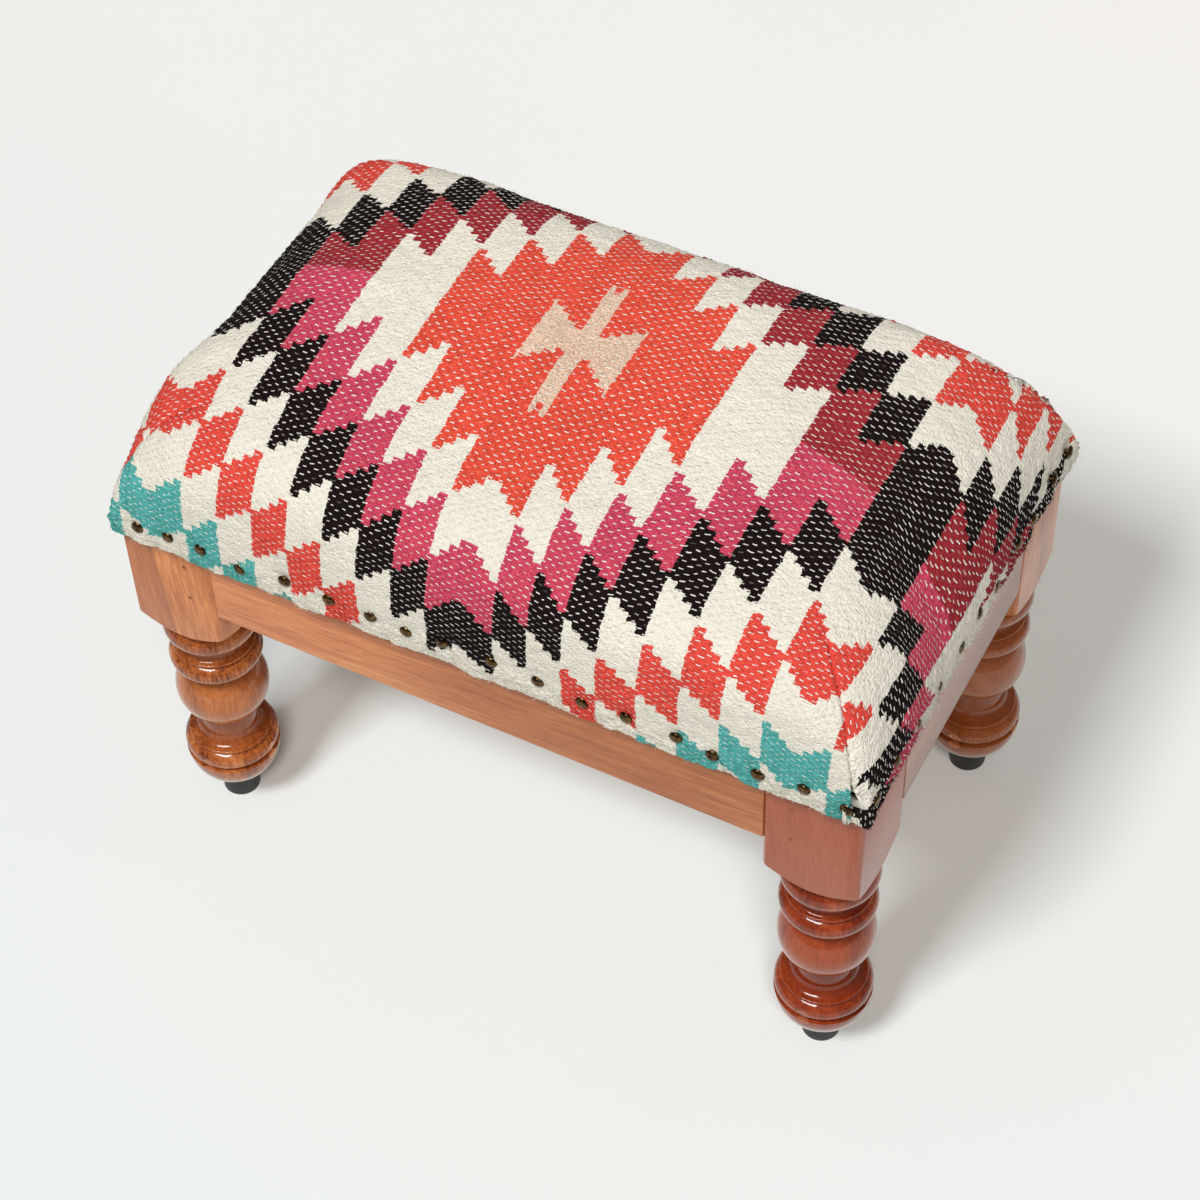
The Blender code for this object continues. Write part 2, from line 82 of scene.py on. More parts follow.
# Leg turning, from the ferrule up to the square post
FOOT_BALL_RADIUS = 0.0283
FOOT_BALL_RISE = 0.0260
FOOT_BEAD_RADIUS = 0.0283
FOOT_BEAD_TUBE = 0.0067
FOOT_RIDGE_RADIUS = 0.0250
FOOT_RIDGE_HEIGHT = 0.0030
NECK_COVE_HEIGHT = 0.0070
NECK_FILLET_RADIUS = 0.0176
NECK_RADIUS = 0.0168
NECK_HEIGHT = 0.0118
BALL_RADIUS = 0.0278
BALL_HEIGHT = 0.1031
GROOVE_RADIUS = 0.0170
GROOVE_HEIGHT = 0.0020
COLLAR_BEAD_RADIUS = 0.0277
COLLAR_BEAD_TUBE = 0.0072
COLLAR_RIDGE_RADIUS = 0.0246
COLLAR_RIDGE_HEIGHT = 0.0030
COLLAR_COVE_HEIGHT = 0.0053
COLLAR_COVE_RADIUS = 0.0198
BAND_RADIUS = 0.0280
BAND_TUBE = 0.0084
BAND_LOW_ANGLE = 50.0
BAND_HIGH_ANGLE = 75.0
BAND_FLARE_HEIGHT = 0.0052
BAND_NECK_RADIUS = 0.0218
BAND_NECK_HEIGHT = 0.0035
SHOULDER_RISE = 0.0095
EDGE_EASE = 0.0012
RIDGE_INSET = 0.0008
RIDGE_ROUND = 0.0009
NECK_SWELL = 0.0006
NECK_SWELL_HEIGHT = 0.0040
ABOVE_FERRULE = 0.0003
SHOULDER_STEPS = 16
POST_TOP_SHARE = 0.97
CORNER_STEPS = 24
FLAT_STEPS = 8

# Rubber ferrules
FERRULE_FOOT_RADIUS = 0.0112
FERRULE_TOP_RADIUS = 0.0106
FERRULE_EDGE = 0.0008
FERRULE_WAIST = 0.0002
FERRULE_SIDES = 64

# Rails and filled pin ends
RAIL_END_GAP = 0.0002
RAIL_EASE = 0.0009
PIN_SIDES = 24
PIN_SUNK = 0.0030
PIN_RIM = 0.00012
PIN_CROWN = 0.00022

# Seat form: the top is flat in the middle and rolls over to a straight band that the nails hold
END_POWER = 7.0
END_ROOT = 0.44
SIDE_POWER = 7.0
SIDE_ROOT = 0.31
BAND_SWELL = 0.001
COVER_STANDS_OFF = 0.0043
ROLL_ABOVE_HEM = 0.013
FLAT_X = 0.177
FLAT_Y = {"front": 0.088, "back": 0.118}
PLEAT_DEPTH = 0.004
CORNER_WRAP = 0.010
LEFT_TUCK = 0.004
LEFT_TUCK_FROM = (0.19, 0.085)
LEFT_TUCK_REACH = (0.03, 0.045)
SHOWN_DEPTH = 0.0005
BAND_PUFF = 0.0006
NAIL_DIMPLE = 0.0019
NAIL_DIMPLE_REACH = 0.0065
LINING_INSET = 0.0024
LINING_WIDTH = 0.010
LINING_DROP = 0.0012
FOAM_INSET = 0.0065
FOAM_SHARE = 0.995
CREASE_DEPTH = 0.0012
CREASE_REACH = 0.0022
# The turned edge of the hem: steps outwards and upwards
HEM_TURN = ((0.0, -0.0010), (-0.0013, -0.0018), (-0.0030, -0.0010), (-0.0036, 0.0030), (-0.0036, 0.0100))
HEM_LIFT = {"front": 0.001, "back": 0.001, "left": 0.002, "right": 0.0085}
CORNER_SAG = {"front": 0.0, "back": 0.0, "left": 0.003, "right": 0.0060}

# Where the stuffing stands fuller or lower: place (x, y), reach along x and y, height
BULGES = ((-0.218, -0.062, 0.026, 0.040, 0.0058), (-0.215, 0.120, 0.030, 0.032, 0.0035),
          (0.215, 0.118, 0.032, 0.045, -0.0045))

# Weave: yarn bundles run from front to back, and cotton warps cross them from side to side
BUNDLES_PER_COLUMN = 6
STEPS_PER_COLUMN = 4
WARPS_PER_STEP = 2
FIRST_BAND = 35.0
BAND_WARPS = 15.6
MIRROR_BUNDLE = 54.0
MOTIF_PLACE = (-0.019, 0.022)
BUNDLE_RELIEF = 0.00020
KNOT_RELIEF = 0.00036
LUMP_RELIEF = 0.00050

# The cloth was laid askew: how far its rows slip towards the back, in metres, at places along the seat
SLIP_PLACES = (-0.232, -0.200, -0.135, -0.050, 0.040, 0.100, 0.150, 0.180, 0.215, 0.255)
SLIP_BACK = (-0.016, -0.016, -0.001, 0.004, 0.005, -0.006, -0.022, -0.032, -0.041, -0.047)
SLIP_MIDDLE = (0.000, 0.000, 0.008, 0.008, 0.003, -0.003, -0.014, -0.024, -0.052, -0.064)
SLIP_FRONT = (-0.001, 0.003, -0.003, -0.003, -0.008, -0.005, -0.006, -0.006, -0.014, -0.034)

# Dome nails; the front row wanders (along the rail, upwards) by these millimetres, left to right
NAIL_RADIUS = 0.0040
NAIL_RISE = 0.0024
NAIL_SUNK = 0.0013
NAIL_SUNK_RIGHT = 0.0008
NAIL_RIM = 0.0002
NAIL_TILT = 0.12
NAIL_RINGS = 7
NAIL_SIDES = 20
NAIL_ABOVE_HEM = 0.0120
NAIL_END_INSET = 0.0115
NAILS_LONG = 18
NAILS_SHORT = 11
FRONT_WANDER = ((8, -2), (5, 0), (0, 0), (-1, -3), (2, 2), (4, 1), (4, 1), (0, 0), (-4, 3),
                (0, 3), (2, 2), (2, -1), (2, 1), (5, 1), (0, -2), (0, -3), (0, 0), (-2, -3))

# Loose wool fibres that stand out of the cloth
FUZZ_COUNT = 12000
FUZZ_RADIUS = 0.00007
FUZZ_LENGTH = (0.0015, 0.0042)


def srgb(red, green, blue):
    """A colour given as it looks on screen, from 0 to 255, in the renderer's linear values."""
    shares = [value / 255 for value in (red, green, blue)]
    linear = [s / 12.92 if s < 0.04045 else ((s + 0.055) / 1.055) ** 2.4 for s in shares]
    return (*linear, 1.0)


class Number:
    """A value that varies over a surface; arithmetic on it adds Math nodes."""

    def __init__(self, graph, socket):
        self.graph = graph
        self.socket = socket

    def math(self, operation, *others):
        node = self.graph.add("ShaderNodeMath", operation=operation)
        for place, value in enumerate((self, *others)):
            self.graph.feed(node.inputs[place], value)
        return Number(self.graph, node.outputs[0])

    def __add__(self, other):
        return self.math("ADD", other)

    def __sub__(self, other):
        return self.math("SUBTRACT", other)

    def __mul__(self, other):
        return self.math("MULTIPLY", other)

    def __truediv__(self, other):
        return self.math("DIVIDE", other)

    def plus_times(self, factor, other):
        return self.math("MULTIPLY_ADD", factor, other)

    def floor(self):
        return self.math("FLOOR")

    def fraction(self):
        return self.math("FRACT")

    def absolute(self):
        return self.math("ABSOLUTE")

    def below(self, limit):
        return self.math("LESS_THAN", limit)

    def above(self, limit):
        return self.math("GREATER_THAN", limit)

    def largest(self, other):
        return self.math("MAXIMUM", other)

    def smallest(self, other):
        return self.math("MINIMUM", other)

    def step(self, low, high, start=0.0, end=1.0):
        """A smooth change from start to end while the value goes from low to high."""
        node = self.graph.add("ShaderNodeMapRange", interpolation_type="SMOOTHSTEP")
        for place, value in enumerate((self, low, high, start, end)):
            self.graph.feed(node.inputs[place], value)
        return Number(self.graph, node.outputs[0])


class Graph:
    """The shader nodes of one material."""

    def __init__(self, name):
        self.material = bpy.data.materials.new(name)
        self.material.use_nodes = True
        self.tree = self.material.node_tree
        self.shader = self.tree.nodes["Principled BSDF"]

    def add(self, kind, **settings):
        node = self.tree.nodes.new(kind)
        for key, value in settings.items():
            setattr(node, key, value)
        return node

    def feed(self, socket, value):
        """Link a node's output into a socket, or set a constant there."""
        if isinstance(value, Number):
            value = value.socket
        if isinstance(value, bpy.types.NodeSocket):
            self.tree.links.new(value, socket)
        else:
            socket.default_value = value

    def set(self, **values):
        """Set or link the shader's inputs, with underscores for spaces."""
        for name, value in values.items():
            self.feed(self.shader.inputs[name.replace("_", " ")], value)

    def split(self, vector):
        node = self.add("ShaderNodeSeparateXYZ")
        self.feed(node.inputs[0], vector)
        return [Number(self, output) for output in node.outputs]

    def join(self, x=0.0, y=0.0, z=0.0):
        node = self.add("ShaderNodeCombineXYZ")
        for place, value in enumerate((x, y, z)):
            self.feed(node.inputs[place], value)
        return node.outputs[0]

    def object_place(self):
        return self.add("ShaderNodeTexCoord").outputs["Object"]

    def stretched(self, vector, scale):
        node = self.add("ShaderNodeVectorMath", operation="MULTIPLY")
        self.feed(node.inputs[0], vector)
        self.feed(node.inputs[1], scale)
        return node.outputs[0]

    def noise(self, vector, scale=1.0, detail=3.0, roughness=0.5, distortion=0.0):
        node = self.add("ShaderNodeTexNoise")
        self.feed(node.inputs["Vector"], vector)
        for name, value in (("Scale", scale), ("Detail", detail),
                            ("Roughness", roughness), ("Distortion", distortion)):
            self.feed(node.inputs[name], value)
        return Number(self, node.outputs[0])

    def knots(self, vector):
        """Rounded lumps packed side by side, like terry loops."""
        node = self.add("ShaderNodeTexVoronoi", feature="SMOOTH_F1", voronoi_dimensions="2D")
        self.feed(node.inputs["Vector"], vector)
        node.inputs["Scale"].default_value = 1.0
        node.inputs["Smoothness"].default_value = 0.3
        return Number(self, node.outputs["Distance"]).plus_times(-1, 1)

    def chance(self, x, y):
        """A fixed random value for each pair of whole numbers."""
        node = self.add("ShaderNodeTexWhiteNoise", noise_dimensions="2D")
        self.feed(node.inputs["Vector"], self.join(x, y))
        return Number(self, node.outputs["Value"])

    def mix(self, share, first, second):
        node = self.add("ShaderNodeMix", data_type="RGBA")
        self.feed(node.inputs[0], share)
        self.feed(node.inputs[6], first)
        self.feed(node.inputs[7], second)
        return node.outputs[2]

    def brightness(self, colour, value):
        node = self.add("ShaderNodeHueSaturation")
        self.feed(node.inputs["Color"], colour)
        self.feed(node.inputs["Value"], value)
        return node.outputs[0]

    def palette(self, place, colours):
        """One plain colour for each whole number from 0."""
        node = self.add("ShaderNodeValToRGB")
        ramp = node.color_ramp
        ramp.interpolation = "CONSTANT"
        while len(ramp.elements) < len(colours):
            ramp.elements.new(1.0)
        for count, colour in enumerate(colours):
            ramp.elements[count].position = count / len(colours)
            ramp.elements[count].color = colour
        self.feed(node.inputs[0], (place + 0.5) / len(colours))
        return node.outputs[0]

    def ramp(self, place, stops):
        node = self.add("ShaderNodeValToRGB")
        ramp = node.color_ramp
        while len(ramp.elements) < len(stops):
            ramp.elements.new(1.0)
        for element, (position, colour) in zip(ramp.elements, stops):
            element.position = position
            element.color = colour
        self.feed(node.inputs[0], place)
        return node.outputs[0]

    def bump(self, height, distance, strength=1.0):
        node = self.add("ShaderNodeBump")
        self.feed(node.inputs["Height"], height)
        node.inputs["Distance"].default_value = distance
        node.inputs["Strength"].default_value = strength
        self.feed(self.shader.inputs["Normal"], node.outputs[0])


def wood(name, tones, along, gloss, seed, heart=None, coat=0.0, coat_ior=1.5, figured=1.0, turned=None,
         painted_light_along=None):
    """Hardwood with growth lines and pores along one axis.

    `heart` darkens one side of a slanted line; `turned` holds a turning's hollow colour, which is painted
    shade where the radius narrows, and a lighter tone for its ball;
    the last argument brightens the wood along its length, painted light falling on one end."""
    graph = Graph(name)
    place = graph.object_place()
    tilt = graph.add("ShaderNodeVectorRotate", rotation_type="EULER_XYZ")
    graph.feed(tilt.inputs["Vector"], place)
    tilt.inputs["Rotation"].default_value = (GRAIN_TILT, GRAIN_TILT, 0.0)
    shift = graph.add("ShaderNodeVectorMath", operation="ADD")
    graph.feed(shift.inputs[0], tilt.outputs[0])
    graph.feed(shift.inputs[1], (seed * 0.37, seed * 0.71, seed * 0.53))
    moved = shift.outputs[0]

    def scaled(across, lengthwise):
        return tuple(lengthwise if axis == along else across for axis in range(3))

    broad = graph.noise(graph.stretched(moved, scaled(38, 5.0)), detail=3, distortion=0.8)
    lines = graph.noise(graph.stretched(moved, scaled(520, 24)), detail=4, roughness=0.6, distortion=0.5)
    pores = graph.noise(graph.stretched(moved, scaled(1500, 90)), detail=2)
    figure = (broad * 0.5 + lines * 0.5 - 0.51) * figured + 0.51
    dark, middle, light = tones
    colour = graph.ramp(figure, [(0.36, dark), (0.51, middle), (0.66, light)])
    # Painted light: the wood brightens towards one end, where more light falls on it.
    if painted_light_along is not None:
        start, stop, gain = painted_light_along
        colour = graph.brightness(colour, graph.split(place)[along].step(start, stop) * gain + 1.0)
    if heart is not None:
        edge, slope, tone = heart
        across, _, up = graph.split(place)
        past = across + up * slope - edge + (broad - 0.5) * 0.003
        streak = past.step(0.0006, -0.0006) * 0.55 + past.absolute().step(0.0016, 0.0004) * 0.3
        colour = graph.mix(streak, colour, tone)
    speck = pores.step(0.42, 0.33)
    colour = graph.mix(speck * min(0.6, 0.6 * figured), colour, dark)
    if turned is not None:
        hollow, ball_tone = turned
        x, y, up = graph.split(place)
        from_axis = (x * x + y * y).math("SQRT")
        # Painted shade: the hollow colour darkens the turning where its radius narrows, in the coves,
        # grooves and necks.
        colour = graph.mix(from_axis.step(0.0262, 0.0190, 0.0, 0.6), colour, hollow)
        # A lighter tone laid over the ball, following the grain.
        on_ball = (up - BALL_HEIGHT).absolute().step(0.022, 0.017) * (lines * 0.5 + broad * 0.4)
        colour = graph.mix(on_ball, colour, ball_tone)
    graph.set(Base_Color=colour, Roughness=figure * 0.12 + gloss, Specular_IOR_Level=0.1)
    graph.set(Coat_Weight=coat, Coat_Roughness=0.03, Coat_IOR=coat_ior)
    graph.bump(lines * 0.4 - speck * 0.6, distance=0.0001, strength=0.4)
    return graph.material


def plywood():
    graph = Graph("plywood")
    place = graph.object_place()
    figure = graph.noise(graph.stretched(place, (4, 60, 60)), detail=4, distortion=0.8)
    plies = (graph.split(place)[2] * 555).fraction().step(0.45, 0.55)
    face = graph.ramp(figure, [(0.3, srgb(168, 132, 92)), (0.7, srgb(214, 182, 138))])
    graph.set(Base_Color=graph.mix(plies * 0.25, face, srgb(140, 100, 66)), Roughness=figure * 0.2 + 0.6)
    graph.bump(figure, distance=0.0002, strength=0.4)
    return graph.material


def metal(name, light, dark, rough, grain):
    """Worn metal with a darker patina in blotches."""
    graph = Graph(name)
    place = graph.object_place()
    patina = graph.noise(place, scale=grain, detail=4, roughness=0.65)
    marks = graph.noise(place, scale=grain * 6, detail=2)
    shade = graph.ramp(patina, [(0.38, dark), (0.62, light)])
    graph.set(Base_Color=shade, Metallic=1.0, Roughness=marks * 0.25 + rough)
    graph.bump(patina + marks * 0.5, distance=0.0002, strength=0.35)
    return graph.material


def rubber():
    graph = Graph("rubber")
    place = graph.object_place()
    dust = graph.noise(place, scale=180, detail=4, roughness=0.6)
    colour = graph.ramp(dust, [(0.4, srgb(38, 37, 36)), (0.75, srgb(66, 63, 60))])
    graph.set(Base_Color=colour, Roughness=dust * 0.3 + 0.4)
    graph.bump(dust, distance=0.0002, strength=0.3)
    return graph.material


def foam():
    graph = Graph("foam")
    cells = graph.add("ShaderNodeTexVoronoi")
    graph.feed(cells.inputs["Vector"], graph.object_place())
    cells.inputs["Scale"].default_value = 900
    open_cell = Number(graph, cells.outputs["Distance"])
    graph.set(Base_Color=graph.ramp(open_cell, [(0.1, srgb(196, 178, 122)), (0.6, srgb(236, 222, 176))]),
              Roughness=0.95)
    graph.bump(open_cell, distance=0.0004, strength=0.5)
    return graph.material


def filler():
    """Tinted putty over a pin's end."""
    graph = Graph("pin_filler")
    crumbs = graph.noise(graph.object_place(), scale=2600, detail=2)
    colour = graph.ramp(crumbs, [(0.35, srgb(128, 66, 38)), (0.65, srgb(160, 90, 54))])
    graph.set(Base_Color=colour, Roughness=0.6)
    graph.bump(crumbs, distance=0.0002, strength=0.4)
    return graph.material


# Kilim colours from the medallion outwards: field, white, red, black, white, orange, white, teal, white
CREAM = srgb(236, 229, 214)
BLACK = srgb(28, 20, 19)
ORANGE = srgb(228, 82, 63)
RED = srgb(223, 77, 65)
TEAL = srgb(86, 174, 168)
FRONT_RINGS = (ORANGE, CREAM, srgb(200, 71, 93), BLACK, CREAM, RED, CREAM, TEAL, CREAM, ORANGE)
BACK_RINGS = (ORANGE, CREAM, srgb(156, 47, 54), BLACK, CREAM, RED, CREAM, TEAL, CREAM, ORANGE)
WHITE_RINGS = (0, 1, 0, 0, 1, 0, 1, 0, 1, 0)
BEIGE = srgb(226, 192, 168)
COTTON = srgb(246, 242, 232)


def kilim():
    """Slit-woven wool: stepped rings round a medallion, counted in yarn bundles and warps."""
    graph = Graph("kilim")
    coordinates = graph.add("ShaderNodeUVMap", uv_map="weave").outputs[0]
    plain_across, plain_down, _ = graph.split(coordinates)
    wander = graph.noise(graph.stretched(coordinates, (0.6, 0.4, 1)), detail=2)
    frizz = graph.noise(graph.stretched(coordinates, (2.6, 2.0, 1)), detail=3, roughness=0.6)
    across = plain_across + (wander - 0.5) * 0.7
    down = plain_down + (wander - 0.5) * 0.6
    bundle = across.floor()
    warp = down.floor()

    # Columns of bundles step back from the middle, and the whole mirrors at the ninth column
    ragged_across = across + (frizz - 0.5) * 0.7
    ragged_down = down + (frizz - 0.5) * 1.2
    from_middle = ragged_across.absolute()
    folded = (from_middle - MIRROR_BUNDLE).absolute().plus_times(-1, MIRROR_BUNDLE) / BUNDLES_PER_COLUMN
    column = folded.floor()
    stair = (folded.fraction() * STEPS_PER_COLUMN).floor() * WARPS_PER_STEP
    front = ragged_down.above(0.0)
    reach = ragged_down.absolute() + column * (STEPS_PER_COLUMN * WARPS_PER_STEP) - stair
    ring = ((reach - FIRST_BAND) / BAND_WARPS).floor() + 1.0
    least = ((column / 2).floor() - 1.0).largest(0.0)
    most = front * column.below(3.0) * -5.0 + 9.0
    ring = ring.largest(least).smallest(most)
    colour = graph.mix(front, graph.palette(ring, BACK_RINGS), graph.palette(ring, FRONT_RINGS))

    # Bow-tie motif with an upright bar in the middle of the medallion
    height = ragged_down.absolute()
    fork = from_middle.below(0.5) * 2.5
    bar = from_middle.below(1.5) * (height + fork).below(18.5)
    stepped = (from_middle / 1.5).floor() * 1.5
    wings = from_middle.below(8.0) * (height - stepped).below(2.0) * from_middle.above(1.5)
    motif = bar.largest(wings)
    colour = graph.mix(motif, colour, BEIGE)
    flags = [(flag, flag, flag, 1.0) for flag in WHITE_RINGS]
    pale = Number(graph, graph.palette(ring, flags)) * motif.plus_times(-1, 1)

    # Wool varies from bundle to bundle, along each bundle and from fibre to fibre
    fibres = graph.noise(graph.stretched(coordinates, (3.4, 2.6, 1)), roughness=0.7, distortion=0.6)
    clumps = graph.noise(graph.stretched(coordinates, (1.3, 1.0, 1)), detail=3, roughness=0.6)
    blotch = graph.noise(graph.stretched(coordinates, (0.12, 0.10, 1)), detail=3)
    tone = (graph.chance(bundle, 7.0) - 0.5) * 0.08 + (fibres - 0.5) * 2.4 + (clumps - 0.5) * 0.6
    tone = (tone + (blotch - 0.5) * 0.2) * pale.plus_times(-0.72, 1.0) + 1.0
    colour = graph.brightness(colour, tone.largest(0.3))

    # Cotton warps show as short dashes, brick fashion, and sink out of sight in the white wool
    crossing = (across + 0.5).floor()
    luck = graph.chance(crossing, warp)
    in_bundle = across - crossing
    in_warp = down.fraction() - 0.5 + in_bundle * (luck - 0.5) * 0.5 + (luck - 0.5) * 0.2
    odd = ((crossing + warp) / 2).fraction().above(0.25)
    locks = (crossing / BUNDLES_PER_COLUMN).fraction().absolute().below(0.05)
    half_length = graph.chance(crossing + 0.5, warp) * 0.16 + locks * 0.16 + 0.24
    dash = (in_bundle.absolute() - half_length).step(0.07, -0.05)
    dash = dash * in_warp.absolute().step(0.185, 0.07) * odd
    dash = dash * graph.chance(crossing, warp + 0.5).step(-0.05, 0.30)
    colour = graph.mix(dash * pale.plus_times(-0.85, 0.98), colour, COTTON)

    knots = graph.knots(graph.stretched(coordinates, (1.9, 1.5, 1)))
    relief = dash * 0.35 + fibres * 0.6 + clumps * 0.35 + knots * 0.6
    graph.set(Base_Color=colour, Roughness=0.95, Specular_IOR_Level=0.08)
    graph.bump(relief, distance=0.0011, strength=1.0)
    return graph.material


def new_piece(name, mesh, *nodes, materials=()):
    """Put a mesh into the scene on the stool's body, in place of the CAD nodes named."""
    item = bpy.data.objects.new(name, mesh)
    bpy.context.scene.collection.objects.link(item)
    for material in materials:
        mesh.materials.append(material)
    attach(item, BODY)
    if nodes:
        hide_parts(*nodes)
    return item


def mesh_from(form, name, smooth_angle=35):
    mesh = bpy.data.meshes.new(name)
    bmesh.ops.recalc_face_normals(form, faces=form.faces)
    form.to_mesh(mesh)
    form.free()
    mesh.shade_smooth()
    mesh.set_sharp_from_angle(angle=math.radians(smooth_angle))
    return mesh


def loft(form, rings):
    """Join rings of points by faces and close both ends; the result lists the faces between each pair."""
    loops = [[form.verts.new(point) for point in ring] for ring in rings]
    bands = []
    for lower, upper in zip(loops, loops[1:]):
        count = len(lower)
        bands.append([form.faces.new((lower[k], lower[(k + 1) % count], upper[(k + 1) % count], upper[k]))
                      for k in range(count)])
    form.faces.new(reversed(loops[0]))
    form.faces.new(loops[-1])
    return bands


def circle(radius, height, count):
    angles = [k * math.tau / count for k in range(count)]
    return [(radius * math.cos(a), radius * math.sin(a), height) for a in angles]


def arc(centre_r, centre_z, radius, start, end, steps):
    """Points (radius, height) of a bead or ball, between two angles in degrees."""
    angles = [math.radians(start + (end - start) * k / steps) for k in range(steps + 1)]
    return [(centre_r + radius * math.cos(a), centre_z + radius * math.sin(a)) for a in angles]


def cove(start, end, steps):
    """Points of a hollow that leaves `start` level and meets `end` upright."""
    angles = [math.pi / 2 * k / steps for k in range(steps + 1)]
    return [(start[0] + (end[0] - start[0]) * math.sin(a), end[1] + (start[1] - end[1]) * math.cos(a))
            for a in angles]


def turned_profile(shoulder):
    """The turning as (radius, height) points, from the ferrule up to the foot of the square post."""
    equator = shoulder + FOOT_BALL_RISE
    low_angle = math.degrees(math.asin(FOOT_BALL_RISE / FOOT_BALL_RADIUS))
    points = arc(0, equator, FOOT_BALL_RADIUS, -low_angle, 0, 14)
    bead = equator + FOOT_BEAD_TUBE
    points += arc(FOOT_BEAD_RADIUS - FOOT_BEAD_TUBE, bead, FOOT_BEAD_TUBE, -65, 68, 12)
    ridge = bead + FOOT_BEAD_TUBE + FOOT_RIDGE_HEIGHT
    points += arc(FOOT_RIDGE_RADIUS - RIDGE_INSET, ridge - RIDGE_ROUND, RIDGE_ROUND, -80, 80, 5)
    fillet = ridge + NECK_COVE_HEIGHT
    points += cove((FOOT_RIDGE_RADIUS - EDGE_EASE, ridge), (NECK_FILLET_RADIUS, fillet), 9)
    neck = fillet + NECK_HEIGHT
    drop = math.sqrt(BALL_RADIUS ** 2 - NECK_RADIUS ** 2)
    lift = math.sqrt(BALL_RADIUS ** 2 - GROOVE_RADIUS ** 2)
    middle = neck + drop
    points.append((NECK_RADIUS + NECK_SWELL, neck - NECK_SWELL_HEIGHT))
    points.append((NECK_RADIUS, neck))
    points += arc(0, middle, BALL_RADIUS, -math.degrees(math.asin(drop / BALL_RADIUS)),
                  math.degrees(math.asin(lift / BALL_RADIUS)), 26)[1:]
    collar = middle + lift + GROOVE_HEIGHT + COLLAR_BEAD_TUBE
    points += arc(COLLAR_BEAD_RADIUS - COLLAR_BEAD_TUBE, collar, COLLAR_BEAD_TUBE, -78, 68, 14)
    rim = collar + COLLAR_BEAD_TUBE + COLLAR_RIDGE_HEIGHT
    points += arc(COLLAR_RIDGE_RADIUS - RIDGE_INSET, rim - RIDGE_ROUND, RIDGE_ROUND, -80, 80, 5)
    hollow = rim + COLLAR_COVE_HEIGHT
    points += cove((COLLAR_RIDGE_RADIUS - EDGE_EASE, rim), (COLLAR_COVE_RADIUS, hollow), 8)
    band = hollow + BAND_FLARE_HEIGHT + BAND_TUBE * math.sin(math.radians(BAND_LOW_ANGLE))
    ring = arc(BAND_RADIUS - BAND_TUBE, band, BAND_TUBE, -BAND_LOW_ANGLE, BAND_HIGH_ANGLE, 16)
    points += cove(ring[0], (COLLAR_COVE_RADIUS, hollow), 8)[-2:0:-1] + ring
    points.append((BAND_NECK_RADIUS, ring[-1][1] + BAND_NECK_HEIGHT))
    return points


def post_ring(radius, half, height):
    """A circle cut by the four sides of a square: each side's flat, then the round of its corner."""
    spread = math.acos(min(1.0, half / radius)) if radius > half else 0.0
    points = []
    for side in range(4):
        start = side * math.pi / 2
        for k in range(FLAT_STEPS):
            along = radius * math.sin(spread) * (2 * k / FLAT_STEPS - 1)
            out = radius * math.cos(spread)
            points.append((out * math.cos(start) - along * math.sin(start),
                           out * math.sin(start) + along * math.cos(start), height))
        for k in range(CORNER_STEPS):
            angle = start + spread + (math.pi / 2 - 2 * spread) * k / CORNER_STEPS
            points.append((radius * math.cos(angle), radius * math.sin(angle), height))
    return points


def leg_mesh(name, half, shoulder, top):
    """One turned leg: lathe work below, a shoulder that runs out into the square post, the post above."""
    profile = turned_profile(shoulder)
    shoulder_foot = profile[-1][1] + EDGE_EASE
    corner = half * math.sqrt(2) - EDGE_EASE
    rise = SHOULDER_RISE - EDGE_EASE
    for k in range(SHOULDER_STEPS + 1):
        share = k / SHOULDER_STEPS
        profile.append((half + (corner - half) * share, shoulder_foot + rise * share))
    turned = len(profile)
    profile += [(corner, top - EDGE_EASE), (corner - EDGE_EASE, top)]
    rings = [post_ring(radius, half, height) for radius, height in profile]
    rings[-1] = [(x * POST_TOP_SHARE, y * POST_TOP_SHARE, top) for x, y, _ in rings[-2]]

    form = bmesh.new()
    bands = loft(form, rings)
    per_side = FLAT_STEPS + CORNER_STEPS
    for count, band in enumerate(bands):
        for k, face in enumerate(band):
            flat = k % per_side < FLAT_STEPS
            face.material_index = 1 if flat or count >= turned - 1 else 0
    bmesh.ops.remove_doubles(form, verts=form.verts, dist=1e-6)
    return mesh_from(form, name)


def make_legs(gloss, posts):
    for corner in CORNERS:
        node = f"leg_{corner}"
        low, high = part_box(node)
        half = (high[0] - low[0]) / 2
        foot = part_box(f"ferrule_{corner}")[1][2]
        mesh = leg_mesh(f"turned_{node}", half, foot + ABOVE_FERRULE, high[2])
        item = new_piece(f"turned_{node}", mesh, node, materials=(gloss[corner], posts[corner]))
        item.location = ((low[0] + high[0]) / 2, (low[1] + high[1]) / 2, 0)


def make_ferrules(material):
    for corner in CORNERS:
        node = f"ferrule_{corner}"
        low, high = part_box(node)
        height = high[2] - low[2]
        profile = [(FERRULE_FOOT_RADIUS * 0.4, 0.0006), (FERRULE_FOOT_RADIUS * 0.75, 0.0005),
                   (FERRULE_FOOT_RADIUS * 0.80, 0.0)]
        profile += arc(FERRULE_FOOT_RADIUS - FERRULE_EDGE, FERRULE_EDGE, FERRULE_EDGE, -90, 0, 4)
        profile += [(FERRULE_FOOT_RADIUS - FERRULE_WAIST, height * 0.3), (FERRULE_TOP_RADIUS, height * 0.8)]
        profile += arc(FERRULE_TOP_RADIUS - FERRULE_EDGE, height - FERRULE_EDGE, FERRULE_EDGE, 0, 90, 4)
        form = bmesh.new()
        loft(form, [circle(radius, z, FERRULE_SIDES) for radius, z in profile])
        item = new_piece(f"rubber_{node}", mesh_from(form, node), node, materials=(material,))
        item.location = ((low[0] + high[0]) / 2, (low[1] + high[1]) / 2, low[2])


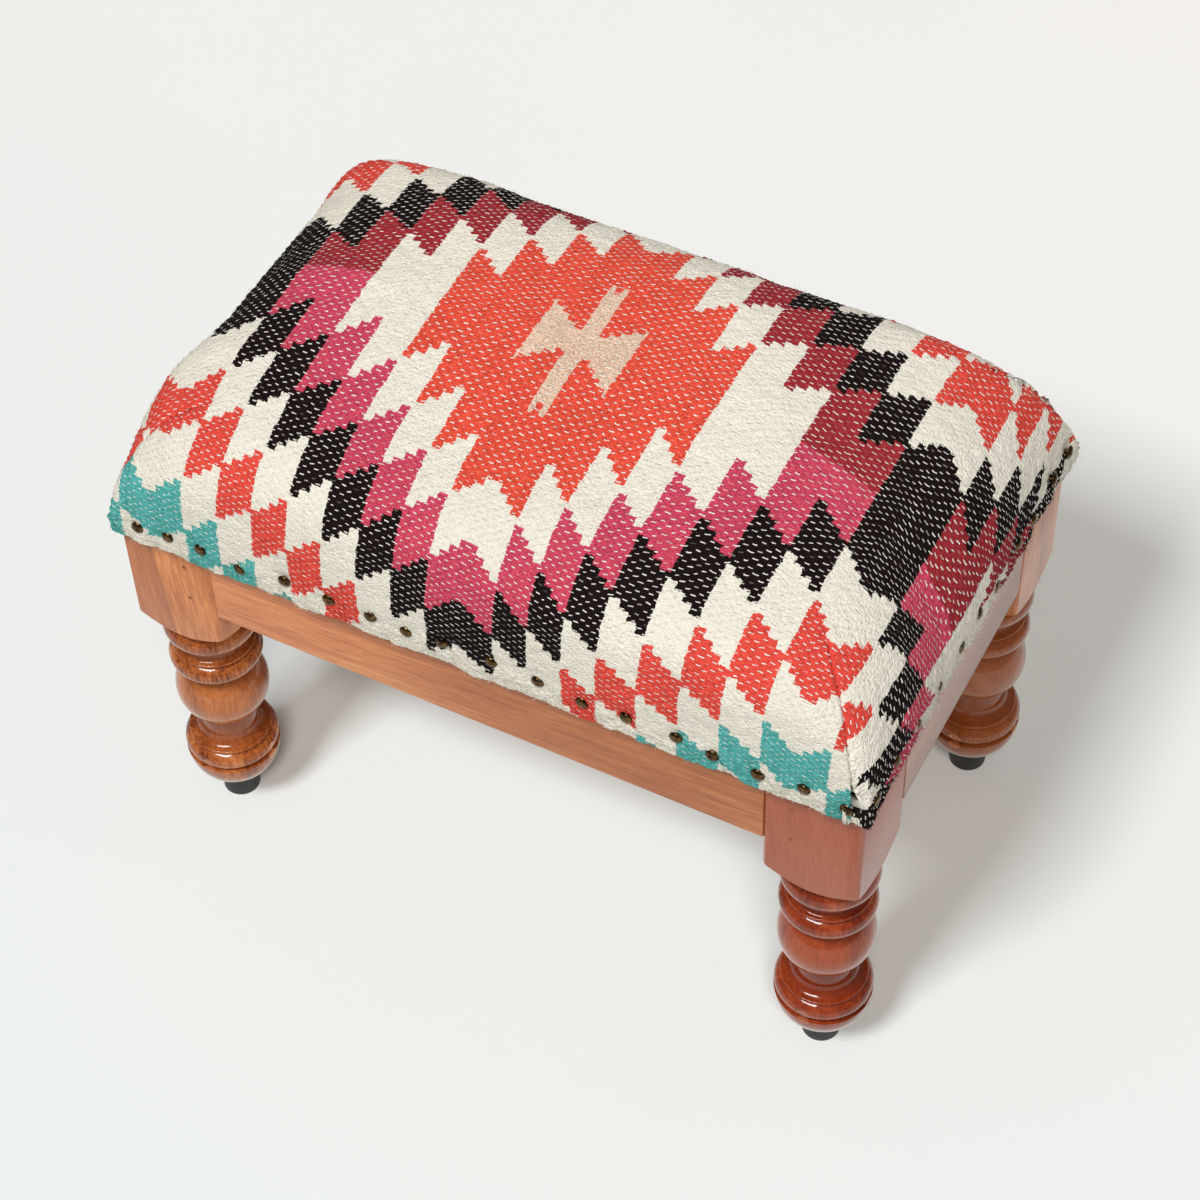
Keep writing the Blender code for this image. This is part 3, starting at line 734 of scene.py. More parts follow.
def make_rails(material_long, material_short):
    """Rails between the posts, with eased edges."""
    inner_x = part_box("leg_front_right")[0][0] - RAIL_END_GAP
    inner_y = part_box("leg_back_right")[0][1] - RAIL_END_GAP
    for side in ("front", "back", "left", "right"):
        node = f"rail_{side}"
        low, high = (list(corner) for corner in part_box(node))
        axis = 0 if side in ("front", "back") else 1
        low[axis], high[axis] = (-inner_x, inner_x) if axis == 0 else (-inner_y, inner_y)
        centre = [(a + b) / 2 for a, b in zip(low, high)]
        form = bmesh.new()
        bmesh.ops.create_cube(form, size=1.0)
        for vert in form.verts:
            vert.co = Vector(c * (b - a) for c, a, b in zip(vert.co, low, high))
        bmesh.ops.bevel(form, geom=form.edges[:], offset=RAIL_EASE, segments=3, profile=0.6, affect="EDGES")
        material = material_long if axis == 0 else material_short
        item = new_piece(f"planed_{node}", mesh_from(form, node, 50), node, materials=(material,))
        item.location = centre


def make_pin_ends(material):
    """Filled pin ends, a little sunk at the rim."""
    for corner, (_, sy) in CORNERS.items():
        for place in ("low", "high"):
            node = f"pin_{corner}_{place}"
            low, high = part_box(node)
            radius = (high[0] - low[0]) / 2
            profile = [(radius, -PIN_SUNK), (radius, PIN_RIM),
                       (radius * 0.8, PIN_CROWN), (radius * 0.3, PIN_RIM)]
            form = bmesh.new()
            loft(form, [[(x, sy * out, z) for x, z, _ in circle(r, 0.0, PIN_SIDES)] for r, out in profile])
            item = new_piece(f"filled_{node}", mesh_from(form, node), node, materials=(material,))
            face = low[1] if sy < 0 else high[1]
            item.location = ((low[0] + high[0]) / 2, face, (low[2] + high[2]) / 2)


class Seat:
    """The padded seat's outer surface, worked out from the CAD cover's box and the legs."""

    def __init__(self):
        _, post_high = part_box("leg_back_right")
        cover_low, cover_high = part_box("kilim_cover")
        self.top = cover_high[2]
        self.hem = cover_low[2]
        self.half_x = post_high[0] + COVER_STANDS_OFF + BAND_SWELL
        self.half_y = post_high[1] + COVER_STANDS_OFF + BAND_SWELL
        self.roll = self.hem + ROLL_ABOVE_HEM
        self.long_sides = {side: self.drop_table(self.half_x, self.half_y, flat, self.height)
                           for side, flat in FLAT_Y.items()}
        self.short_side = self.drop_table(self.half_y, self.half_x, FLAT_X, lambda a, b: self.height(b, a))
        self.hem_y = FLAT_Y["front"] + self.long_sides["front"]["length"][0]
        self.hem_x = FLAT_X + self.short_side["length"][0]

    def height(self, x, y):
        end = np.clip(1 - np.abs(x / self.half_x) ** END_POWER, 0, 1) ** END_ROOT
        side = np.clip(1 - np.abs(y / self.half_y) ** SIDE_POWER, 0, 1) ** SIDE_ROOT
        return self.roll + (self.top - self.roll) * end * side

    def drop_table(self, along_half, across_half, start, height):
        """Curves from the flat top down to the hem, for places spaced along one side."""
        places = np.linspace(0, along_half, 240)
        reach = start + (across_half - start) * np.sin(np.linspace(0, math.pi / 2, 500))
        band = np.linspace(self.roll, self.hem, 80)[1:]
        share = np.linspace(0, 1, 600)
        table = {"places": places, "out": [], "z": [], "length": []}
        for place in places:
            out = np.concatenate([reach, np.full_like(band, across_half)])
            z = np.concatenate([height(place, reach), band])
            steps = np.hypot(np.diff(out), np.diff(z))
            length = np.concatenate([[0], np.cumsum(steps)])
            table["out"].append(np.interp(share * length[-1], length, out))
            table["z"].append(np.interp(share * length[-1], length, z))
            table["length"].append(length[-1])
        return {key: np.array(value) for key, value in table.items()}


def sample(table, key, place, share):
    """Read a side's curves between the places and steps they are kept at."""
    rows = np.clip(place / table["places"][-1], 0, 1) * (len(table["places"]) - 1)
    columns = np.clip(share, 0, 1) * (table[key].shape[1] - 1)
    r = np.minimum(rows.astype(int), table[key].shape[0] - 2)
    c = np.minimum(columns.astype(int), table[key].shape[1] - 2)
    fr = rows - r
    fc = columns - c
    grid = table[key]
    low = grid[r, c] * (1 - fc) + grid[r, c + 1] * fc
    high = grid[r + 1, c] * (1 - fc) + grid[r + 1, c + 1] * fc
    return low * (1 - fr) + high * fr


class SidePanel:
    """One pair of sides of the cover: where its cloth lies and where its corner seams run.

    A seam leaves the flat top's corner and meets the edge at `seam_end`, as (along, across); the cloth
    shows up to `reach` along the side, which is past the corner where it wraps round."""

    def __init__(self, table, across_half, flat, hem, seam_end, reach):
        self.table = table
        self.reach = reach
        self.along_flat, self.across_flat = flat
        self.hem = hem
        self.unit = self.length(np.array(self.along_flat)) / (hem - self.across_flat)
        along_end, across_end = seam_end
        rows = np.linspace(self.along_flat, along_end, 120)
        slope = (across_end - self.across_flat) / (along_end - self.along_flat)
        seam_out = self.across_flat + (rows - self.along_flat) * slope
        rows = np.append(rows, [along_end + 1e-6, max(reach, along_end) + 1e-5])
        seam_out = np.append(seam_out, [across_half, across_half])
        share = np.linspace(0, 1, 600)
        self.seam_rows = rows
        self.seam = []
        for row, out in zip(rows, seam_out):
            curve = sample(table, "out", np.full(600, row), share)
            at = np.interp(out - 1e-7, curve, share)
            self.seam.append(hem - (1 - at) * float(self.length(np.array(row))) / self.unit)

    def length(self, along):
        return np.interp(along, self.table["places"], self.table["length"])

    def seam_at(self, along):
        """How far out on the cloth this side begins, beyond the pleat."""
        return np.where(along <= self.along_flat, self.across_flat,
                        np.interp(along, self.seam_rows, self.seam))

    def place(self, along, cloth):
        """Distance out and height of the cloth point `cloth` metres from the middle."""
        inside = along <= self.along_flat
        straight = (cloth - self.across_flat) / (self.hem - self.across_flat)
        from_hem = 1 - (self.hem - cloth) * self.unit / self.length(along)
        share = np.where(inside, straight, from_hem)
        return sample(self.table, "out", along, share), sample(self.table, "z", along, share)


def corner_panels(seat, side, wraps):
    """The long and short sides' panels at a corner that one of them wraps round."""
    over = CORNER_WRAP if wraps == "long" else -CORNER_WRAP
    reach_x, reach_y = seat.half_x + over, seat.half_y - over
    end_x, end_y = min(reach_x, seat.half_x), min(reach_y, seat.half_y)
    flat = FLAT_X, FLAT_Y[side]
    long_panel = SidePanel(seat.long_sides[side], seat.half_y, flat, seat.hem_y, (end_x, end_y), reach_x)
    short_panel = SidePanel(seat.short_side, seat.half_x, flat[::-1], seat.hem_x, (end_y, end_x), reach_y)
    return long_panel, short_panel


def cover_surface(seat, s, t):
    """Points of the cover; the right side wraps round its corners, the long sides round the left ones."""
    result = None
    for side, wraps, mask in (("front", "long", (t < 0) & (s < 0)), ("front", "short", (t < 0) & (s >= 0)),
                              ("back", "long", (t >= 0) & (s < 0)), ("back", "short", (t >= 0) & (s >= 0))):
        part = cover_quarter(seat, s[mask], t[mask], *corner_panels(seat, side, wraps))
        if result is None:
            result = [np.zeros(s.shape + values.shape[1:], values.dtype) for values in part]
        for whole, values in zip(result, part):
            whole[mask] = values
    return result


def cover_quarter(seat, s, t, long_panel, short_panel):
    """Points of the cover for cloth coordinates s and t, measured from its middle over the rolls.

    Cloth left over at a corner is tucked into its pleat; the second result is how deep."""
    along_x = np.abs(s)
    along_y = np.abs(t)
    flat_x, flat_y = long_panel.along_flat, long_panel.across_flat
    on_top = (along_x <= flat_x) & (along_y <= flat_y)

    # The nearest cloth point that the long side, or the short side, still shows
    long_s = np.minimum(along_x, long_panel.reach)
    long_t = np.maximum(along_y, long_panel.seam_at(long_s))
    short_t = np.minimum(along_y, short_panel.reach)
    short_s = np.maximum(along_x, short_panel.seam_at(short_t))
    long_miss = np.hypot(along_x - long_s, long_t - along_y)
    short_miss = np.hypot(along_y - short_t, short_s - along_x)
    on_long = ~on_top & (along_y > flat_y) & (long_miss <= short_miss)
    on_short = ~on_top & ~on_long

    long_out, long_z = long_panel.place(long_s, long_t)
    short_out, short_z = short_panel.place(short_t, short_s)
    long_x, short_y = np.minimum(long_s, seat.half_x), np.minimum(short_t, seat.half_y)
    x = np.where(on_top, along_x, np.where(on_long, long_x, short_out - (short_t - short_y)))
    y = np.where(on_top, along_y, np.where(on_long, long_out - (long_s - long_x), short_y))
    z = np.where(on_top, seat.height(along_x, along_y), np.where(on_long, long_z, short_z))
    tucked = np.where(on_top, 0.0, np.where(on_long, long_miss, short_miss))
    points = np.stack([np.sign(s) * x, np.sign(t) * y, z], axis=-1)

    inward = np.array([0, 0, seat.roll - 0.03]) - points
    inward /= np.linalg.norm(inward, axis=-1, keepdims=True)
    depth = np.minimum(tucked * 1.6, PLEAT_DEPTH)
    past_seam = np.where(on_long, along_y - long_panel.seam_at(long_s),
                         along_x - short_panel.seam_at(short_t))
    at_corner = (along_x > flat_x) & (along_y > flat_y)
    crease = CREASE_DEPTH * np.exp(-(past_seam / CREASE_REACH) ** 2)
    crease = np.where(at_corner & (depth == 0), crease, 0.0)
    return points + inward * (depth + crease)[..., None], depth, on_long, on_short


def spread(counts, stops):
    """Piecewise-even spacing: `stops` pairs a count with a distance."""
    return np.interp(counts, [count for count, _ in stops], [distance for _, distance in stops])


def weave_lattice(seat):
    """Cloth coordinates of the lattice: about two lines for each yarn bundle and each warp."""
    middle_s, middle_t = MOTIF_PLACE
    across_stops = [(-74, -seat.hem_x), (-60, -0.2335), (-48, -0.1906), (-24, -0.1038), (0, middle_s),
                    (24, 0.0669), (48, 0.1670), (84, seat.hem_x)]
    down_stops = [(-77, -seat.hem_y), (-36, -0.108), (-28, -0.092), (-20, -0.074), (-12, -0.0535),
                  (0, -middle_t), (36, 0.079), (44, 0.099), (52, 0.118), (60, 0.136), (68, 0.152),
                  (76, 0.171), (84, 0.191), (91, seat.hem_y)]
    u = np.linspace(-74, 84, 317)
    v = np.linspace(-77, 91, 281)
    u_grid, v_grid = np.meshgrid(u, v, indexing="ij")
    s, t = np.meshgrid(spread(u, across_stops), -spread(v, down_stops), indexing="ij")

    # The columns lean over the front roll, and the rows slip; the hems stay where they were cut
    lean = np.interp(t, [-0.140, -0.117, -0.073, 0.0], [0.0155, 0.013, 0.006, 0.0])
    leaning = lean * np.interp(s, [-seat.hem_x, -0.22, -0.05, 0.19], [0, 1, 1, 0])
    rows = ((SLIP_BACK, (0.015, 0.055, 0.120, seat.hem_y), (0, 1, 1, 0)),
            (SLIP_MIDDLE, (-0.060, 0.015, 0.055), (0, 1, 0)),
            (SLIP_FRONT, (-seat.hem_y, -0.140, -0.060, 0.015), (0, 1, 1, 0)))
    slip = sum(np.interp(s, SLIP_PLACES, row) * np.interp(t, at, share) for row, at, share in rows)
    return u_grid, v_grid, s + leaning, t + slip


def surface_normals(points):
    du = np.gradient(points, axis=0)
    dv = np.gradient(points, axis=1)
    normal = np.cross(dv, du)
    length = np.linalg.norm(normal, axis=-1, keepdims=True)
    return normal / np.maximum(length, 1e-12)


def smooth_waves(values, seed, wavelength, strength):
    """A slow, repeatable wobble along a line."""
    dice = random.Random(seed)
    total = np.zeros_like(values)
    for octave in (1.0, 0.61, 0.37):
        phase = dice.uniform(0, math.tau)
        total += octave * np.sin(values * math.tau / (wavelength * octave) + phase)
    return total * strength


def nail_places(seat):
    """Centre, outward direction and side of each dome nail."""
    dice = random.Random(11)
    places = []
    for side, count, half, out in (("front", NAILS_LONG, seat.half_x, seat.half_y),
                                   ("back", NAILS_LONG, seat.half_x, seat.half_y),
                                   ("left", NAILS_SHORT, seat.half_y, seat.half_x),
                                   ("right", NAILS_SHORT, seat.half_y, seat.half_x)):
        for k in range(count):
            along = (half - NAIL_END_INSET) * (2 * k / (count - 1) - 1)
            wander, rise = dice.uniform(-0.003, 0.003), dice.uniform(-0.002, 0.002)
            if side == "front":
                wander, rise = (0.001 * value for value in FRONT_WANDER[k])
            z = seat.hem + NAIL_ABOVE_HEM + rise + HEM_LIFT[side] * 0.5
            sign = -1 if side in ("front", "left") else 1
            if side in ("front", "back"):
                centre, outward = (along + wander, sign * out, z), (0, sign, 0)
            else:
                centre, outward = (sign * out, along + wander, z), (sign, 0, 0)
            places.append((Vector(draw_in(np.array(centre))), Vector(outward), side))
    return places


def lumps(shape, seed, passes):
    """Repeatable soft noise over the lattice, about -1 to 1."""
    field = np.random.RandomState(seed).normal(size=shape)
    for _ in range(passes):
        for axis in (0, 1):
            field = (np.roll(field, 1, axis) + 2 * field + np.roll(field, -1, axis)) / 4
    return field / np.abs(field).max() * 1.6


def relief(u, v):
    """Height of the weave over the cloth: round bundles, pinched where a warp crosses, and lumpy wool."""
    crown = 0.5 - 0.5 * np.cos(2 * np.pi * u)
    pinch = np.cos(np.pi * (v + 0.5 + np.floor(u))) * crown
    fluff = lumps(u.shape, 3, 1) + 0.8 * lumps(u.shape, 4, 3)
    return BUNDLE_RELIEF * crown + KNOT_RELIEF * pinch + LUMP_RELIEF * fluff


def drop_hems(seat, points, on_long, on_short, s, t):
    """The hems hang by different amounts, sag at the corners and wave a little."""
    low = np.clip((seat.roll + 0.012 - points[..., 2]) / (ROLL_ABOVE_HEM + 0.012), 0, 1)
    sides = (("front", on_long & (t < 0), 0, seat.half_x), ("back", on_long & (t > 0), 0, seat.half_x),
             ("left", on_short & (s < 0), 1, seat.half_y), ("right", on_short & (s > 0), 1, seat.half_y))
    for side, mask, axis, half in sides:
        along = points[..., axis]
        wave = smooth_waves(along, len(side), 0.055, 0.0009)
        wave = wave + smooth_waves(along, len(side) + 5, 0.016, 0.0003)
        sag = CORNER_SAG[side] * np.clip((np.abs(along) - half + 0.030) / 0.022, 0, 1) ** 2
        points[..., 2] += np.where(mask, (HEM_LIFT[side] + wave - sag) * low ** 1.5, 0)
    return low


def draw_in(points):
    """Points of the cloth, pulled in towards the post at the front left corner."""
    (end, front), (end_reach, front_reach) = LEFT_TUCK_FROM, LEFT_TUCK_REACH
    near_end = np.clip((-points[..., 0] - end) / end_reach, 0, 1)
    near_front = np.clip((-points[..., 1] - front) / front_reach, 0, 1)
    drawn = points.copy()
    drawn[..., 0] += LEFT_TUCK * near_end * near_front ** 2 * (3 - 2 * near_front)
    return drawn


def make_cover(seat, material, nails):
    u, v, s, t = weave_lattice(seat)
    points, depth, on_long, on_short = cover_surface(seat, s, t)
    points = draw_in(points)
    normals = surface_normals(points)
    low = drop_hems(seat, points, on_long, on_short, s, t)

    # The nails draw the cloth in, and it swells between them
    puff = BAND_PUFF * np.clip(1 - np.abs(low - 0.6) / 0.4, 0, 1)
    for centre, _, _ in nails:
        gap = np.linalg.norm(points - np.array(centre), axis=-1)
        puff -= NAIL_DIMPLE * np.exp(-(gap / NAIL_DIMPLE_REACH) ** 2)
    for x, y, reach_x, reach_y, height in BULGES:
        weight = np.exp(-((points[..., 0] - x) / reach_x) ** 2 - ((points[..., 1] - y) / reach_y) ** 2)
        puff += height * weight * (1 - low)
    unevenness = smooth_waves(s * 0.8 + t * 0.6, 5, 0.11, 0.0004)
    unevenness = unevenness + smooth_waves(t - s * 0.3, 8, 0.09, 0.0003)
    lift = relief(u, v) * (1 + 0.6 * low) + puff + unevenness * (1 - low)
    points = points + normals * np.where(depth > SHOWN_DEPTH, 0.0, lift)[..., None]

    form_points = points.reshape(-1, 3)
    rows, columns = u.shape
    index = np.arange(rows * columns).reshape(rows, columns)
    corners = np.stack([index[:-1, :-1], index[:-1, 1:], index[1:, 1:], index[1:, :-1]], axis=-1)
    corners = corners.reshape(-1, 4)
    hidden = (depth >= PLEAT_DEPTH * 0.98).reshape(-1)
    corners = corners[~hidden[corners].all(axis=1)]
    weave = np.stack([u.reshape(-1), v.reshape(-1)], axis=-1)

    flat_normals = normals.reshape(-1, 3)
    form_points, corners, weave = turn_hem(index, form_points, flat_normals, corners, weave, hidden)
    form_points, corners, weave = line_pleats(seat, form_points, corners, weave)
    mesh = woven_mesh("kilim_seat_cover", form_points, corners, weave)
    cover = new_piece("kilim_seat_cover", mesh, "kilim_cover", materials=(material,))
    shown = (depth < SHOWN_DEPTH).reshape(-1)
    return cover, (points.reshape(-1, 3)[shown], flat_normals[shown],
                   np.stack([u, v], axis=-1).reshape(-1, 2)[shown], low.reshape(-1)[shown])


def woven_mesh(name, points, faces, weave):
    """A mesh whose corners carry the count of bundles and warps."""
    mesh = bpy.data.meshes.new(name)
    mesh.from_pydata(points.tolist(), [], faces.tolist())
    layer = mesh.uv_layers.new(name="weave")
    loops = np.empty(len(mesh.loops), dtype=np.int32)
    mesh.loops.foreach_get("vertex_index", loops)
    layer.data.foreach_set("uv", weave[loops].astype(np.float32).reshape(-1))
    mesh.validate()
    mesh.shade_smooth()
    return mesh


def line_pleats(seat, points, corners, weave):
    """A strip of the same cloth behind each corner seam, so that no pleat stands open."""
    steps = 40
    drop = np.linspace(0, 1, 14)[1:]
    for corner, (sx, sy) in CORNERS.items():
        across = np.linspace(FLAT_X, seat.half_x, steps)
        along = np.linspace(FLAT_Y[corner.split("_")[0]], seat.half_y, steps)
        height = seat.height(across, along)
        across = np.concatenate([across, np.full(len(drop), seat.half_x)])
        along = np.concatenate([along, np.full(len(drop), seat.half_y)])
        height = np.concatenate([height, seat.roll + (seat.hem + 0.001 - seat.roll) * drop])
        first = len(points)
        strip = []
        for x, y, z in zip(across, along, height):
            inner_x, inner_y, lower = x - LINING_INSET, y - LINING_INSET, z - LINING_DROP
            strip += [(sx * (inner_x - LINING_WIDTH), sy * inner_y, lower),
                      (sx * inner_x, sy * inner_y, lower),
                      (sx * inner_x, sy * (inner_y - LINING_WIDTH), lower)]
        strip = draw_in(np.array(strip)).tolist()
        rows = first + 3 * np.arange(len(across) - 1)
        for k in (0, 1):
            quads = np.stack([rows + k, rows + k + 1, rows + k + 4, rows + k + 3], -1)
            corners = np.concatenate([corners, quads])
        points = np.concatenate([points, np.array(strip)])
        cell = np.array([(sx * 68.0, -sy * 70.0)])
        weave = np.concatenate([weave, np.repeat(cell, len(strip), axis=0)])
    return points, corners, weave


def make_fuzz(material, cloth):
    """Loose fibres that stand out of the wool, more of them along the hems."""
    points, normals, weave, low = cloth
    dice = np.random.RandomState(17)
    weight = 0.4 + 5.0 * low ** 2
    roots = dice.choice(len(points), FUZZ_COUNT, p=weight / weight.sum())
    out = normals[roots]
    side = np.cross(out, dice.normal(size=(FUZZ_COUNT, 3)))
    side /= np.linalg.norm(side, axis=1, keepdims=True)
    other = np.cross(out, side)
    length = dice.uniform(*FUZZ_LENGTH, FUZZ_COUNT)[:, None]
    bend = dice.uniform(0.4, 1.5, FUZZ_COUNT)[:, None]
    middle = points[roots] + out * length * 0.35 + side * length * bend * 0.25
    tip = points[roots] + out * length * 0.55 + side * length * bend * 0.6
    ring = [math.cos(a) * side + math.sin(a) * other for a in (0, math.tau / 3, math.tau * 2 / 3)]
    base = [points[roots] - out * 0.0004 + turn * FUZZ_RADIUS for turn in ring]
    waist = [middle + turn * FUZZ_RADIUS * 0.8 for turn in ring]
    rows = np.stack(base + waist + [tip], axis=1)
    first = 7 * np.arange(FUZZ_COUNT)[:, None]
    sides = np.array([(0, 1, 4), (0, 4, 3), (1, 2, 5), (1, 5, 4), (2, 0, 3), (2, 3, 5),
                      (3, 4, 6), (4, 5, 6), (5, 3, 6), (2, 1, 0)])
    faces = (first[:, :, None] + sides[None]).reshape(-1, 3)
    cells = np.floor(weave[roots]) + np.array([0.5, 0.02])
    mesh = woven_mesh("wool_fuzz", rows.reshape(-1, 3), faces, np.repeat(cells, 7, axis=0))
    item = new_piece("wool_fuzz", mesh, materials=(material,))
    return item


def turn_hem(index, points, normals, corners, weave, hidden):
    """Turn the raw edge under, so that the hem has the thickness of the cloth."""
    borders = (index[0, :], index[-1, ::-1], index[::-1, 0], index[:, -1])
    new_points = [points]
    new_corners = [corners]
    new_weave = [weave]
    count = len(points)
    for border in borders:
        border = border[~hidden[border]]
        previous = border
        for out, up in HEM_TURN:
            ring = points[border] + normals[border] * out + np.array([0, 0, up])
            ring_index = np.arange(count, count + len(border))
            new_points.append(ring)
            new_weave.append(weave[border])
            quads = np.stack([previous[:-1], ring_index[:-1], ring_index[1:], previous[1:]], axis=-1)
            new_corners.append(quads)
            count += len(border)
            previous = ring_index
    return np.concatenate(new_points), np.concatenate(new_corners), np.concatenate(new_weave)


def make_nails(nails, material):
    """Dome nails with a thin rim, each set a little askew."""
    dice = random.Random(23)
    form = bmesh.new()
    profile = [(0.0012, -0.0060), (0.0012, -0.0004), (0.90, -0.0004), (1.0, NAIL_RIM)]
    for centre, out, side in nails:
        sunk = NAIL_SUNK + (NAIL_SUNK_RIGHT if side == "right" else 0.0)
        tilt = Vector([dice.uniform(-NAIL_TILT, NAIL_TILT) for _ in range(3)])
        turn = (out + tilt).to_track_quat("Z", "Y").to_matrix().to_4x4()
        size = NAIL_RADIUS * dice.uniform(0.96, 1.04)
        stations = [(r if r < 0.01 else r * size, z) for r, z in profile]
        for k in range(1, NAIL_RINGS):
            angle = math.pi / 2 * k / NAIL_RINGS
            stations.append((size * math.cos(angle), NAIL_RIM + NAIL_RISE * math.sin(angle)))
        place = Matrix.Translation(centre - out * sunk) @ turn
        loft(form, [[place @ Vector(point) for point in circle(r, z, NAIL_SIDES)] for r, z in stations])
    return new_piece("dome_nails", mesh_from(form, "dome_nails", 60), materials=(material,))


def make_foam(seat, material):
    """The foam under the cover: the same crown, one cloth thickness and a little more inside it."""
    low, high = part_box("foam_pad")
    columns, rows = 60, 44
    form = bmesh.new()
    u = np.sin(np.linspace(-1, 1, columns + 1) * math.pi / 2)
    v = np.sin(np.linspace(-1, 1, rows + 1) * math.pi / 2)
    share_x, share_y = high[0] / seat.half_x, high[1] / seat.half_y
    grid = []
    for a in u:
        line = []
        for b in v:
            x, y = a * seat.half_x, b * seat.half_y
            z = max(float(seat.height(x, y)) - FOAM_INSET, low[2] + 0.0004)
            line.append(form.verts.new((x * share_x * FOAM_SHARE, y * share_y * FOAM_SHARE, z)))
        grid.append(line)
    for i in range(columns):
        for j in range(rows):
            form.faces.new((grid[i][j], grid[i + 1][j], grid[i + 1][j + 1], grid[i][j + 1]))
    border = [grid[i][0] for i in range(columns)] + [grid[columns][j] for j in range(rows)]
    border += [grid[i][rows] for i in range(columns, 0, -1)] + [grid[0][j] for j in range(rows, 0, -1)]
    base = [form.verts.new((vert.co.x, vert.co.y, low[2])) for vert in border]
    for k in range(len(border)):
        j = (k + 1) % len(border)
        form.faces.new((base[k], base[j], border[j], border[k]))
    form.faces.new(reversed(base))
    item = new_piece("foam_core", mesh_from(form, "foam_core"), "foam_pad", materials=(material,))
    return item


def finish_cad_nodes(finishes):
    """Give the CAD nodes that stay in view their materials."""
    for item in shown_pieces():
        for start, material in finishes.items():
            if item.name.startswith(start):
                item.data.materials.clear()
                item.data.materials.append(material)


def make_floor():
    graph = Graph("pale_floor")
    place = graph.object_place()
    cloud = graph.noise(place, scale=3, detail=2)
    back = (graph.split(place)[1] + (cloud - 0.5) * 0.2).step(-0.5, 1.2)
    graph.set(Base_Color=graph.mix(back, srgb(230, 236, 234), srgb(254, 251, 248)), Roughness=0.85)
    form = bmesh.new()
    bmesh.ops.create_grid(form, x_segments=8, y_segments=8, size=FLOOR_REACH)
    floor = bpy.data.objects.new("floor", mesh_from(form, "floor"))
    floor.data.materials.append(graph.material)
    bpy.context.scene.collection.objects.link(floor)
    return floor


def add_softbox(name, place, target, size, power, tint):
    data = bpy.data.lights.new(name, "AREA")
    data.shape = "RECTANGLE"
    data.size, data.size_y = size
    data.energy = power
    data.color = tint
    lamp = bpy.data.objects.new(name, data)
    lamp.location = place
    lamp.rotation_mode = "QUATERNION"
    lamp.rotation_quaternion = (Vector(target) - Vector(place)).to_track_quat("-Z", "Y")
    lamp.visible_glossy = name in MIRRORED_LAMPS
    bpy.context.scene.collection.objects.link(lamp)
    return lamp


def light_only(lamp, item, state):
    """Link a lamp to one thing (INCLUDE), or to everything else (EXCLUDE)."""
    group = bpy.data.collections.new(f"{lamp.name}_lights")
    group.objects.link(item)
    group.collection_objects[0].light_linking.link_state = state
    lamp.light_linking.receiver_collection = group


def make_lights(floor):
    for lamps, state in ((STOOL_LAMPS, "EXCLUDE"), (FLOOR_LAMPS, "INCLUDE")):
        for lamp in lamps:
            light_only(add_softbox(*lamp), floor, state)
    world = bpy.data.worlds.new("studio")
    world.use_nodes = True
    background = world.node_tree.nodes["Background"]
    background.inputs["Color"].default_value = (1.0, 1.0, 1.0, 1.0)
    background.inputs["Strength"].default_value = WORLD_STRENGTH
    bpy.context.scene.world = world
    bpy.context.scene.view_settings.view_transform = "Standard"


def make_camera():
    place = Vector(CAMERA_PLACE)
    forward = (Vector(CAMERA_TARGET) - place).normalized()
    right = forward.cross(Vector((0, 0, 1))).normalized()
    down = forward.cross(right)
    cos, sin = math.cos(CAMERA_ROLL), math.sin(CAMERA_ROLL)
    across = right * cos - down * sin
    upright = -(right * sin + down * cos)
    turn = Matrix((across, upright, -forward)).transposed()
    data = bpy.data.cameras.new("camera")
    data.lens = CAMERA_LENS
    data.sensor_width = CAMERA_SENSOR
    data.dof.use_dof = False
    camera = bpy.data.objects.new("camera", data)
    camera.matrix_world = Matrix.Translation(place) @ turn.to_4x4()
    bpy.context.scene.collection.objects.link(camera)
    bpy.context.scene.camera = camera


